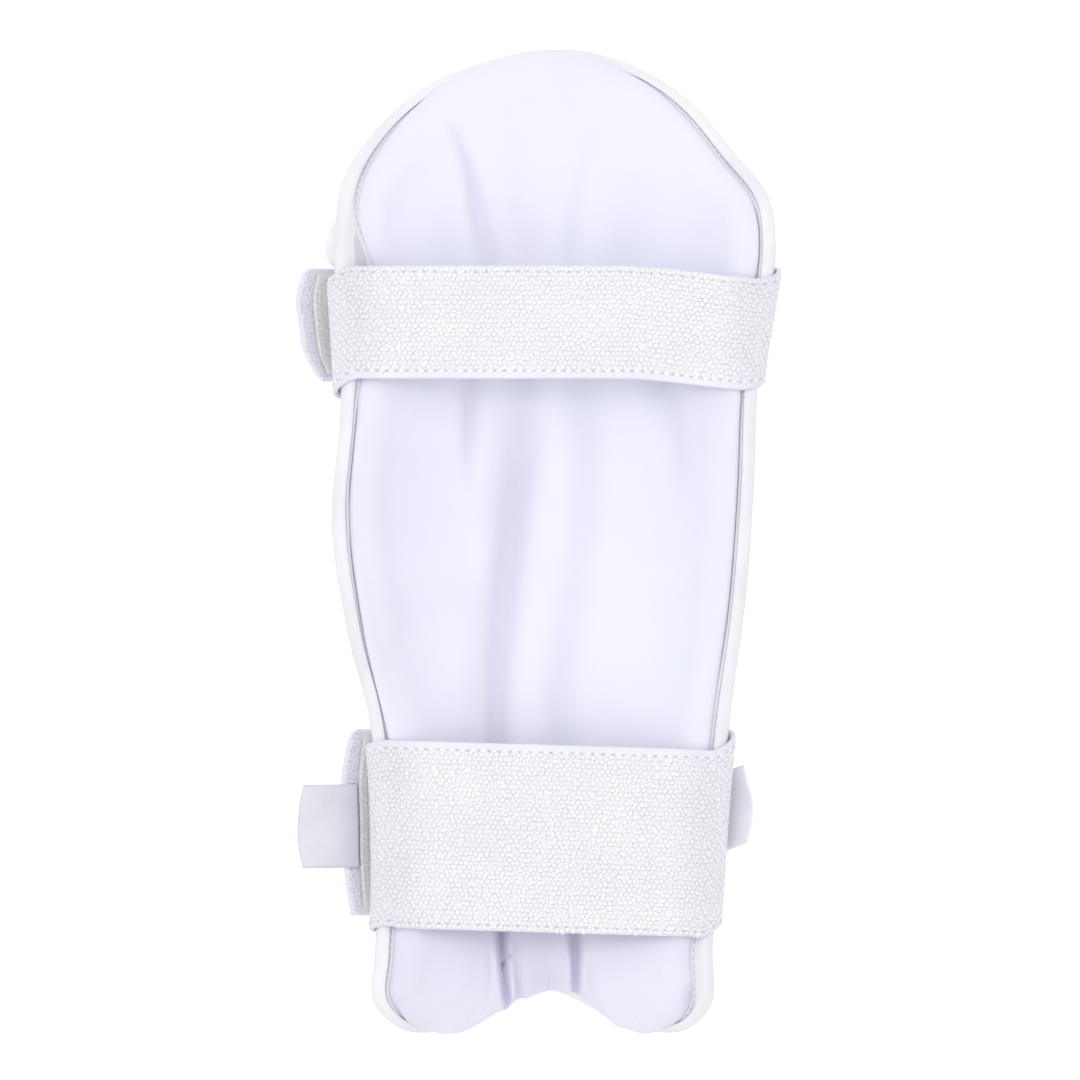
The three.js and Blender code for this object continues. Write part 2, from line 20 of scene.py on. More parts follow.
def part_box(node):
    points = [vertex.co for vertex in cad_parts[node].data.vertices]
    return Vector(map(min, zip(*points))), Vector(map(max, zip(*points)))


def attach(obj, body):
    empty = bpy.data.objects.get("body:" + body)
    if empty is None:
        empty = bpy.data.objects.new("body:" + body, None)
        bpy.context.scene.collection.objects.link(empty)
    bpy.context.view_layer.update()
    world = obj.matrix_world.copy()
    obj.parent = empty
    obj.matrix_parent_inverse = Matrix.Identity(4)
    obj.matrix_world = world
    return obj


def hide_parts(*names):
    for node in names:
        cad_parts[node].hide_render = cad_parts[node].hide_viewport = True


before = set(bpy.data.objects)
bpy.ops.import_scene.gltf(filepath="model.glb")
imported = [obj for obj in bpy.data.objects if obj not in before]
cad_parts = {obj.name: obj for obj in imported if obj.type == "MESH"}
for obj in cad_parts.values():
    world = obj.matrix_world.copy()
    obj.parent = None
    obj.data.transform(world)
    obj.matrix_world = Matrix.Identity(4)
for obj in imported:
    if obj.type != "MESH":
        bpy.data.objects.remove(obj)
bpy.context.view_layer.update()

# %% [markdown]
# ## Sizes
# The same driving sizes as in the CAD source. A trough is a bent sheet, so most places on
# the guard can be given as a point seen from above and a height over that sheet.

# %% Sizes of the guard
guard_length = 315.0
guard_width = 141.0
wrist_width = 109.0
rim_rise = 30.0
rim_steepness = 0.8
trough_flat = 0.25
end_lift = 3.0
straight_share = 0.78
half_length = guard_length / 2
half_width = guard_width / 2

foam_thickness = 9.5
foam_shoulder = 24.0
lining_thickness = 8.0
lining_shoulder = 12.0
edge_thickness = 2.0
clearance = 0.3
binding_wall = 1.0
binding_leg = 2.4
binding_round = 2.0
binding_half = clearance / 2 + edge_thickness + clearance + binding_wall
tuck = binding_leg + 2 * clearance

# %% Sizes of the straps: lengths in mm, centre, lift_off and free_end as shares
straps = {
    "upper": {
        "width": 36.0, "centre": 0.441, "arm_slant": 0.0, "arm_drop": 4.0, "sewn_shift": -6.0,
        "free_shift": 0.0, "lift_off": -0.78, "free_end": [-1.04, -1.11, -1.133, -1.145, -1.11],
    },
    "lower": {
        "width": 60.0, "centre": -0.606, "arm_slant": -0.03, "arm_drop": 0.0, "sewn_shift": 0.0,
        "free_shift": 5.0, "lift_off": -0.62, "free_end": [-0.9, -0.926, -0.932, -0.939, -0.902],
    },
}
elastic_thickness = 1.9
strap_standoff = 0.6
turn_standoff = 1.1  # at the edges, where the binding turns up under the elastic
strap_sag = 1.0
tape_thickness = 1.2
tape_margin = 2.0
free_hem = 4.5
sewn_at = 0.36
tape_from = -0.5
layer_ramp = 0.12
layer = elastic_thickness + clearance
tape_layer = tape_thickness + clearance


# %% [markdown]
# ## The trough
# The middle sheet narrows towards the wrist and curves up at both ends. The functions take
# whole arrays, so that a fine grid costs one call.

# %% Trough functions
def ease(low, high, value):
    share = np.clip((value - low) / (high - low), 0, 1)
    return share * share * (3 - 2 * share)


def bell(away):
    return np.exp(-(away**2))


def rounded_step(share):
    return np.sqrt(1 - (1 - np.clip(share, 0, 1)) ** 2)


def trough_height(x, y):
    reach = 0.62 * half_length
    taper = np.clip((y + reach) / (2 * reach), 0, 1)
    half = (wrist_width + (guard_width - wrist_width) * taper) / 2
    bend = np.maximum(0, np.abs(x) / half - trough_flat) / (1 - trough_flat)
    sine = np.minimum(0.97, rim_steepness * bend)
    arc = (1 - np.sqrt(1 - sine**2)) / (1 - math.sqrt(1 - rim_steepness**2))
    end = np.maximum(0, np.abs(y) / half_length - straight_share) / (1 - straight_share)
    return rim_rise * half * arc / half_width + end_lift * end**2


def unit(vectors):
    return vectors / np.linalg.norm(vectors, axis=-1, keepdims=True)


def trough_normal(x, y):
    step = 0.5
    slope_x = (trough_height(x + step, y) - trough_height(x - step, y)) / (2 * step)
    slope_y = (trough_height(x, y + step) - trough_height(x, y - step)) / (2 * step)
    return unit(np.stack([-slope_x, -slope_y, np.ones_like(slope_x)], axis=-1))


def lift(x, y, height):
    """A place that stands off the middle sheet by a height along its normal."""
    foot = np.stack([x, y, trough_height(x, y)], axis=-1)
    return foot + trough_normal(x, y) * np.asarray(height)[..., None]


# %% [markdown]
# ## The rim
# Seen from above, the rim is one closed curve through a short table for each side. A
# centripetal Catmull-Rom spline passes through every row and never loops between them.

# %% Rim tables: across and along are shares of the half width and half length
left_rim = [
    (-0.007, -0.918), (-0.199, -0.948), (-0.426, -0.994), (-0.661, -0.996),
    (-0.799, -0.937), (-0.794, -0.838), (-0.78, -0.698), (-0.813, -0.381),
    (-0.916, -0.19), (-0.987, 0.038), (-0.949, 0.267), (-0.976, 0.61),
    (-0.929, 0.74), (-0.738, 0.86), (-0.511, 0.937), (-0.184, 0.988), (0.028, 1.0),
]
right_rim = [
    (-0.007, -0.918), (0.128, -0.938), (0.312, -0.984), (0.596, -0.999),
    (0.729, -0.946), (0.739, -0.825), (0.769, -0.616), (0.813, -0.375),
    (0.888, -0.114), (0.925, 0.121), (0.945, 0.343), (1.021, 0.59), (0.986, 0.698),
    (0.837, 0.787), (0.638, 0.892), (0.426, 0.957), (0.203, 0.992), (0.028, 1.0),
]


# %% The rim as two fine lines, from the notch up to the elbow's top
def closed_spline(points, shares):
    """Places and directions on the closed centripetal Catmull-Rom spline."""
    count = len(points)
    place = (np.asarray(shares) % 1.0) * count
    index = np.floor(place).astype(int)
    w = (place - index)[:, None]
    a, b, c, d = (points[(index + k) % count] for k in (-1, 0, 1, 2))
    gap = [np.linalg.norm(v - u, axis=1)[:, None] ** 0.5 for u, v in ((a, b), (b, c), (c, d))]
    into = ((b - a) / gap[0] - (c - a) / (gap[0] + gap[1]) + (c - b) / gap[1]) * gap[1]
    away = ((c - b) / gap[1] - (d - b) / (gap[1] + gap[2]) + (d - c) / gap[2]) * gap[1]
    square = 3 * (c - b) - 2 * into - away
    cube = 2 * (b - c) + into + away
    spots = b + into * w + square * w**2 + cube * w**3
    return spots, unit(into + 2 * square * w + 3 * cube * w**2)


def rim_line(start, end, fineness=1200):
    """One side of the rim: points, the way out of the guard, slope, inset and length share."""
    edge, tangent = closed_spline(rim_points, np.linspace(start, end, fineness + 1))
    outward = np.stack([-tangent[:, 1], tangent[:, 0]], axis=1)
    inner = edge - outward
    slope = np.arctan(trough_height(*edge.T) - trough_height(*inner.T))
    inset = np.hypot(binding_round * np.cos(slope), binding_half * np.sin(slope))
    point = edge - outward * inset[:, None]
    steps = np.linalg.norm(np.diff(point, axis=0), axis=1)
    length = np.concatenate([[0], np.cumsum(steps)])
    return {
        "point": point, "outward": outward, "slope": slope, "inset": inset,
        "share": length / length[-1], "length": length[-1], "edge": edge,
    }


rim_points = np.array(left_rim + right_rim[-2:0:-1]) * [half_width, half_length]
elbow_top = (len(left_rim) - 1) / len(rim_points)
rim = {"left": rim_line(0, elbow_top), "right": rim_line(1 - 1e-9, elbow_top)}
print("rim", round(rim["left"]["length"]), "mm left,", round(rim["right"]["length"]), "mm right")


def rim_spots(side, shares):
    """The rim's facts at given shares of one side's length."""
    line = rim[side]
    found = {"side_share": np.asarray(shares)}
    for key in ("slope", "inset"):
        found[key] = np.interp(shares, line["share"], line[key])
    for key in ("point", "outward"):
        found[key] = np.stack([np.interp(shares, line["share"], v) for v in line[key].T], axis=-1)
    found["outward"] = unit(found["outward"])
    return found


def rim_share_at(side, y):
    """The length share at which a side's long stretch passes a given y."""
    line = rim[side]
    lowest = int(np.argmin(line["point"][:, 1]))
    highest = int(np.argmax(line["point"][:, 1]))
    part = slice(lowest, highest + 1)
    return np.interp(y, line["point"][part, 1], line["share"][part])


# %% [markdown]
# ## From the maker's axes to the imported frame
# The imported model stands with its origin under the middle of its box. Two CAD nodes give
# the shift: the binding's box fixes x and y, and the lowest point of the outer pad fixes z.

# %% The shift into the frame
binding_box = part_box("edge_binding")
pad_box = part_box("outer_pad")
outline = np.concatenate([rim["left"]["edge"], rim["right"]["edge"]])
box_middle = [(binding_box[0][i] + binding_box[1][i]) * 500 for i in (0, 1)]
shift = np.array([
    *(box_middle - (outline.min(axis=0) + outline.max(axis=0)) / 2),
    pad_box[0][2] * 1000 + foam_thickness + clearance / 2,
])
print("shift in mm", shift.round(3))


def to_frame(points):
    return (np.asarray(points) + shift) * 0.001


# %% [markdown]
# ## Mesh helpers
# Every piece below is a grid of points: an open sheet, or rings joined one after another.
# The helper merges corners that fall together, turns all faces outwards and shades them
# smooth, because a piece with its own thickness must be a closed body.

# %% Mesh helpers
def grid_faces(rows, columns, start=0, flip=False):
    corner = start + np.arange(rows - 1)[:, None] * columns + np.arange(columns - 1)
    quads = np.stack([corner, corner + 1, corner + columns + 1, corner + columns], axis=-1)
    quads = quads.reshape(-1, 4)
    return quads[:, ::-1] if flip else quads


def add_object(name, data):
    made = bpy.data.objects.new(name, data)
    bpy.context.scene.collection.objects.link(made)
    return made


def make_piece(name, points, faces, material, merge=2e-6):
    mesh = bpy.data.meshes.new(name)
    mesh.from_pydata(to_frame(points).tolist(), [], [tuple(f) for f in np.asarray(faces).tolist()])
    work = bmesh.new()
    work.from_mesh(mesh)
    bmesh.ops.remove_doubles(work, verts=work.verts, dist=merge)
    bmesh.ops.dissolve_degenerate(work, edges=work.edges, dist=merge)
    bmesh.ops.recalc_face_normals(work, faces=work.faces)
    work.to_mesh(mesh)
    work.free()
    mesh.shade_smooth()
    mesh.materials.append(material)
    return add_object(name, mesh)


def loft(rings, closed=False):
    """Points and faces of rings joined in a row; open ends are closed with strips."""
    count, around = rings.shape[:2]
    j = np.arange(count if closed else count - 1)[:, None]
    k = np.arange(around)
    low, high = (j % count) * around, ((j + 1) % count) * around
    nxt = (k + 1) % around
    faces = [np.stack([low + k, low + nxt, high + nxt, high + k], axis=-1).reshape(-1, 4)]
    if not closed:
        half = np.arange(around // 2 - 1)
        strip = np.stack([half, half + 1, around - 2 - half, around - 1 - half], axis=-1)
        faces += [strip[:, ::-1], strip + (count - 1) * around]
    return rings.reshape(-1, 3), np.concatenate(faces)


def keep(piece, name, values):
    """Stores one number for each point of a piece, for its material to read."""
    store = piece.data.attributes.new(name, "FLOAT", "POINT")
    store.data.foreach_set("value", np.asarray(values, dtype=np.float32))


def places_of(piece):
    """A piece's points in the maker's axes, in mm."""
    return np.array([v.co[:] for v in piece.data.vertices]) * 1000 - shift


def nearness(piece, line, reach):
    """How near each point lies to a line of places: 1 on it, fading over a reach in mm."""
    tree = KDTree(len(line))
    for index, spot in enumerate(line):
        tree.insert(spot, index)
    tree.balance()
    return bell(np.array([tree.find(place)[2] for place in places_of(piece)]) / reach)


def report(piece):
    mesh = piece.data
    print(f"{piece.name}: {sum(len(p.vertices) - 2 for p in mesh.polygons)} triangles")


# %% [markdown]
# ## Writing shader maths in Python
# A material's pattern is a formula. One small class wraps a socket, so that + and * on it
# add Math nodes, and one method makes any other node: its settings first, then its inputs.

# %% Node helpers
def add_node(tree, kind, settings=None, inputs=None):
    """A new node: its settings first, then a value or a link for each of its inputs."""
    node = tree.nodes.new(kind)
    for key, value in (settings or {}).items():
        setattr(node, key, value)
    for key, value in (inputs or {}).items():
        if isinstance(value, bpy.types.NodeSocket):
            tree.links.new(value, node.inputs[key])
        else:
            node.inputs[key].default_value = value
    return node


class Field:
    """A number that changes over a surface, held as a socket."""

    def __init__(self, finish, socket):
        self.finish = finish
        self.socket = socket

    def maths(self, operation, first, second):
        made = self.finish.node("ShaderNodeMath", {"operation": operation}, {0: first, 1: second})
        return made.out(0)

    def __add__(self, other):
        return self.maths("ADD", self, other)

    def __radd__(self, other):
        return self.maths("ADD", other, self)

    def __mul__(self, other):
        return self.maths("MULTIPLY", self, other)

    def __rmul__(self, other):
        return self.maths("MULTIPLY", other, self)


class Made:
    """A node with its outputs by number or name."""

    def __init__(self, finish, node):
        self.finish = finish
        self.node = node

    def out(self, key):
        return Field(self.finish, self.node.outputs[key])


class Finish:
    """One material: a Principled surface and the nodes that feed it."""

    def __init__(self, name, constants):
        self.material = bpy.data.materials.new(name)
        self.material.use_nodes = True
        self.tree = self.material.node_tree
        self.surface = self.tree.nodes["Principled BSDF"]
        for key, value in constants.items():
            self.surface.inputs[key].default_value = value

    def node(self, kind, settings, inputs):
        plain = {k: v.socket if isinstance(v, Field) else v for k, v in inputs.items()}
        return Made(self, add_node(self.tree, kind, settings, plain))

    def feed(self, key, field):
        self.tree.links.new(field.socket, self.surface.inputs[key])

    def stored(self, name):
        """A number kept with each point of the piece."""
        return self.node("ShaderNodeAttribute", {"attribute_name": name}, {}).out("Fac")

    def place(self):
        return self.node("ShaderNodeTexCoord", {}, {}).out("Object")

    def along_piece(self):
        return self.node("ShaderNodeUVMap", {"uv_map": "along"}, {}).out("UV")

    def noise(self, where, scale, detail=3.0):
        inputs = {"Vector": where, "Scale": scale, "Detail": detail}
        return self.node("ShaderNodeTexNoise", {}, inputs).out(0)

    def cells(self, where, scale):
        inputs = {"Vector": where, "Scale": scale}
        return self.node("ShaderNodeTexVoronoi", {}, inputs).out("Distance")

    def ramp(self, value, low, high, bottom=0.0, top=1.0):
        settings = {"interpolation_type": "SMOOTHSTEP"}
        inputs = {0: value, 1: low, 2: high, 3: bottom, 4: top}
        return self.node("ShaderNodeMapRange", settings, inputs).out(0)

    def tint(self, share, dark, light):
        inputs = {0: share, 6: dark, 7: light}
        return self.node("ShaderNodeMix", {"data_type": "RGBA"}, inputs).out(2)

    def bump(self, height, distance, strength=1.0):
        inputs = {"Height": height, "Distance": distance, "Strength": strength}
        normal = self.node("ShaderNodeBump", {}, inputs).out(0)
        self.feed("Normal", normal)

    def colour(self, value):
        self.feed("Base Color", value)

    def roughness(self, value):
        self.feed("Roughness", value)


def shade(red, green, blue):
    """A colour read off a screen, 0 to 255, as the linear colour that nodes take."""
    values = [v / 255 for v in (red, green, blue)]
    return (*(v / 12.92 if v < 0.04 else ((v + 0.055) / 1.055) ** 2.4 for v in values), 1.0)


# %% [markdown]
# ## Finishes
# Everything on this guard is white, so the materials differ in tint and surface. The lining
# is a smooth lilac-white knit, coloured darker in its folds as painted shade. The leather of
# shell and binding is cooler and slightly glossy with a fine grain, and the binding's edges
# are painted darker as shade. The elastic is matt; its ground and ribs are painted darker than
# its loops as the shade between them, and it darkens towards its turns as painted shade. The
# hook tape is a pale grey nylon, and both tabs are satin: the strap's tab is painted darker as
# shade, and the care tab is painted lighter as light falling on it.

# %% Lining cloth
def lining_cloth():
    finish = Finish("lining_cloth", {"Sheen Weight": 0.15, "Specular IOR Level": 0.2})
    place = finish.place()
    weave = finish.noise(place, 2600.0, 2.0)
    cloud = finish.noise(place, 26.0, 3.0)
    cool = finish.ramp(finish.noise(place, 14.0, 2.0), 0.42, 0.62)
    tone = finish.ramp(weave * 0.35 + cloud * 0.65, 0.3, 0.7)
    plain = finish.tint(tone, shade(236, 234, 248), shade(241, 239, 253))
    plain = finish.tint(cool * 0.5, plain, shade(237, 240, 252))
    # Painted shade: the lining is coloured darker deep in its folds, between the wrist's lobes and
    # near its seam.
    finish.colour(finish.tint(finish.stored("painted_lining_shade") * 0.62, plain, shade(192, 189, 213)))
    finish.roughness(finish.ramp(weave, 0.3, 0.7, 0.78, 0.92))
    finish.bump(weave + cloud * 0.6, 0.00006, 0.5)
    return finish.material


# %% Coated leather of the shell and the binding
def coated_leather(name, dark, light, grain_scale):
    finish = Finish(name, {"Specular IOR Level": 0.42})
    place = finish.place()
    grain = finish.cells(place, grain_scale)
    cloud = finish.noise(place, 45.0, 4.0)
    tone = finish.ramp(cloud, 0.32, 0.66)
    plain = finish.tint(tone, dark, light)
    # Painted shade: a stored share darkens the leather where the binding turns away from straight up
    # and next to the lining's seam.
    finish.colour(finish.tint(finish.stored("painted_edge_shade"), plain, shade(205, 207, 214)))
    finish.roughness(finish.ramp(cloud + grain * 0.2, 0.3, 0.8, 0.38, 0.52))
    finish.bump(finish.ramp(grain, 0.0, 0.6) + cloud * 0.8, 0.00009, 0.45)
    return finish.material


# %% Elastic: the ground and its loops
def elastic_yarn(name, dark, light):
    finish = Finish(name, {"Sheen Weight": 0.2, "Specular IOR Level": 0.15})
    place = finish.place()
    fibre = finish.noise(place, 3800.0, 3.0)
    cloud = finish.noise(place, 60.0, 3.0)
    tone = finish.ramp(fibre * 0.5 + cloud * 0.5, 0.35, 0.65)
    plain = finish.tint(tone, dark, light)
    # Painted shade: the yarn is coloured darker towards the elastic's turns round the edges, where it
    # curves away.
    finish.colour(finish.tint(finish.stored("painted_wrap_shade") * 0.24, plain, shade(206, 206, 222)))
    finish.roughness(finish.ramp(fibre, 0.3, 0.7, 0.88, 0.98))
    finish.bump(fibre, 0.00012, 0.5)
    return finish.material


# %% Hook tape and satin
def hook_nylon():
    finish = Finish("hook_nylon", {"Specular IOR Level": 0.45})
    place = finish.place()
    stubs = finish.cells(place, 900.0)
    cloud = finish.noise(place, 150.0, 3.0)
    tone = finish.ramp(stubs + cloud * 0.3, 0.2, 0.75)
    finish.colour(finish.tint(tone, shade(238, 238, 236), shade(222, 222, 220)))
    finish.roughness(finish.ramp(cloud, 0.3, 0.7, 0.5, 0.7))
    finish.bump(stubs, 0.0003, 0.7)
    return finish.material


def satin_tab(name, dark, light):
    finish = Finish(name, {"Sheen Weight": 0.2, "Specular IOR Level": 0.5})
    along = finish.along_piece()
    settings = {"wave_type": "BANDS", "bands_direction": "X"}
    threads = finish.node("ShaderNodeTexWave", settings, {"Vector": along, "Scale": 1.1}).out(1)
    cloud = finish.noise(finish.place(), 120.0, 2.0)
    tone = finish.ramp(cloud, 0.2, 0.8)
    finish.colour(finish.tint(tone, dark, light))
    finish.roughness(finish.ramp(cloud, 0.3, 0.7, 0.34, 0.46))
    finish.bump(threads, 0.00003, 0.5)
    return finish.material


def thread(name, dark, light):
    finish = Finish(name, {"Specular IOR Level": 0.3})
    strand = finish.noise(finish.place(), 2500.0, 2.0)
    finish.colour(finish.tint(finish.ramp(strand, 0.3, 0.7), dark, light))
    finish.roughness(finish.ramp(strand, 0.3, 0.7, 0.6, 0.8))
    finish.bump(strand, 0.0001, 0.5)
    return finish.material


lining_finish = lining_cloth()
shell_finish = coated_leather("shell_leather", shade(230, 232, 237), shade(238, 239, 243), 900.0)
binding_finish = coated_leather("binding_leather", shade(234, 234, 240), shade(242, 242, 247), 1500.0)
# Painted shade: the ground between the loops is a darker copy of the loops' yarn, standing for the
# shade between them.
ground_painted_shade_finish = elastic_yarn("elastic_ground_painted_shade", shade(235, 235, 246), shade(242, 242, 252))
loop_finish = elastic_yarn("elastic_loops", shade(248, 248, 253), shade(253, 253, 255))
# Painted shadow: dark beads stand for the shade in the slots along the elastic's edges.
painted_slot_shadow_finish = elastic_yarn("elastic_painted_slot_shadows", shade(206, 206, 219), shade(218, 218, 229))
# Painted shade: the ribs and the hem's loops wear a darker copy of the loops' yarn, partly the
# selvage's tint and partly shade.
rib_painted_shade_finish = elastic_yarn("elastic_ribs_painted_shade", shade(238, 237, 244), shade(245, 244, 250))
hook_finish = hook_nylon()
# Painted shade and light: the strap's tab is a darker copy of the satin, for the shade near the
# strap, and the care tab a lighter copy, for light falling on it.
tab_painted_shade_finish = satin_tab("strap_tab_satin_painted_shade", shade(216, 217, 226), shade(225, 226, 235))
care_painted_light_finish = satin_tab("care_tab_satin_painted_light", shade(236, 235, 243), shade(243, 242, 249))
seam_finish = thread("seam_thread", shade(196, 196, 205), shade(216, 216, 224))
tape_seam_finish = thread("tape_thread", shade(205, 208, 206), shade(226, 228, 228))
print("finishes:", len(bpy.data.materials))


# %% [markdown]
# ## Where the lining meets the binding
# On the real guard the lining is pulled in by the seam and then rolls out over the binding,
# so the width of leather that shows changes along the rim: none at the elbow's top and the
# wrist lobes, and most beside the upper strap, where the pull of the elastic turns the
# binding out. The table gives the width that shows, in mm, against the share of each side's
# length from the notch.

# %% How wide the binding shows
binding_shows = {
    "left": [
        (0.0, 0.2), (0.016, -0.4), (0.0225, 1.5), (0.031, -1.2), (0.038, -1.1), (0.046, -0.9),
        (0.083, -0.9), (0.094, 0.0), (0.104, 1.5), (0.123, 3.2), (0.138, 5.8), (0.18, 6.4),
        (0.212, 6.2), (0.3, 5.4), (0.356, 4.5), (0.383, 3.4), (0.415, 4.1), (0.47, 4.9), (0.53, 6.0),
        (0.58, 4.8), (0.603, 4.7), (0.639, 6.8), (0.69, 12.6), (0.728, 15.0), (0.744, 13.4),
        (0.754, 10.2), (0.768, 7.6), (0.786, 7.0), (0.804, 6.6), (0.838, 5.3), (0.879, 3.8),
        (0.9, 2.5), (0.938, 1.8), (0.965, 1.0), (1.0, 0.9),
    ],
    "right": [
        (0.0, 0.4), (0.012, 0.6), (0.018, 2.0), (0.025, 2.3), (0.036, 1.6), (0.046, 1.0),
        (0.056, -0.5), (0.08, -0.8), (0.095, 0.5), (0.11, 3.0), (0.121, 4.8), (0.139, 7.6),
        (0.175, 8.0), (0.2, 7.0), (0.354, 5.9), (0.394, 5.6), (0.461, 5.1), (0.544, 5.0),
        (0.592, 5.2), (0.633, 4.6), (0.722, 5.5), (0.755, 4.7), (0.77, 4.9), (0.789, 5.8),
        (0.84, 5.6), (0.885, 5.1), (0.905, 4.4), (0.943, 3.2), (0.965, 2.3), (0.986, 1.1),
        (1.0, 0.9),
    ],
}
seam_height = 2.3
binding_top = 2.95
shortest_leg = 2.1
roll_room = 0.65  # how far in from its seam the lining's roll stands at its widest
twist_share = 0.42
push_trim = 0.93  # divides the roll's push: a smaller value rolls the lining further out


def seam_at(side, spots):
    """The leg's reach, the binding's twist and outward shift, and how far the lining rolls out."""
    table = np.array(binding_shows[side])
    share = spots["side_share"]
    reach_out = 0.002 + 0.009 * ease(0.05, 0.13, share)
    beside = (-1, -0.5, 0, 0.5, 1)
    near = [np.interp(share + k * reach_out, table[:, 0], table[:, 1]) for k in beside]
    shows = sum(near) / len(near)
    twist = twist_share * np.maximum(0, spots["slope"])
    level, steep = np.cos(spots["slope"] - twist), np.sin(spots["slope"] - twist)
    out_shift = (spots["inset"] - np.hypot(binding_round * level, binding_top * steep)) / level
    reach = (shows - spots["inset"] - seam_height * steep) / level + out_shift
    leg = np.maximum(shortest_leg, reach)
    push = (leg - reach + roll_room * np.clip((shortest_leg + 1 - reach), 0.7, 1)) * level
    return {
        "leg": leg, "twist": twist, "shift": out_shift,
        "push": push / np.cos(spots["slope"]) / push_trim,
    }


def turned(out, up, twist, shift=0.0):
    """A place in the binding's section, turned to face upwards, in the sheet's own axes."""
    out = out + shift
    return out * np.cos(twist) + up * np.sin(twist), up * np.cos(twist) - out * np.sin(twist)


# %% [markdown]
# ## The rows of a pad
# Rows run from the left rim through a spine in the middle to the right rim. They are level
# along the sides and fan out round both ends, so that every part of the rim has a column
# of faces square to it.

# %% Rows
wrist_rows, side_rows, dome_rows = 225, 120, 64


def make_rows(wrist, sides, dome):
    fan_low, fan_high = -0.8 * half_length, 0.6 * half_length
    total = wrist + sides + dome
    halves = {}
    for side in ("left", "right"):
        low, high = rim_share_at(side, np.array([fan_low, fan_high]))
        level = rim_share_at(side, np.linspace(fan_low, fan_high, sides + 1))
        shares = [np.linspace(0, low, wrist + 1)[:-1], level, np.linspace(high, 1, dome + 1)[1:]]
        halves[side] = rim_spots(side, np.concatenate(shares))
    index = np.arange(total + 1)
    stops = [-0.76 * half_length, -0.68 * half_length, 0.84 * half_length]
    spine = np.interp(index, [0, wrist, total], stops)
    return halves, np.stack([np.zeros_like(spine), spine], axis=1)


def plan_run(spots, towards):
    """Steps seen from above for each mm of depth square in from the rim."""
    inward = unit(towards - spots["point"])
    square = np.maximum(0.4, -np.sum(inward * spots["outward"], axis=1))
    return np.cos(spots["slope"]) / square


def pad_plan(side):
    """One side's rim spots, the depth from each in to the spine, and places at given depths."""
    spots = rows[side]
    length = np.linalg.norm(spots["point"] - spine, axis=1) / plan_run(spots, spine)
    way = (spine - spots["point"])[:, None, :] / length[:, None, None]

    def plan(depth):
        return spots["point"][:, None, :] + way * depth[..., None]

    return spots, length, plan


rows, spine = make_rows(wrist_rows, side_rows, dome_rows)
print("rows across the pads:", len(spine))


# %% [markdown]
# ## Folds and swells of the lining
# The lining is cut larger than the shell's bent inside, so it gathers into long soft folds.
# Each fold is followed by a short table, and its section is a bell: a wide one for a soft
# valley and a narrow one for a crease.

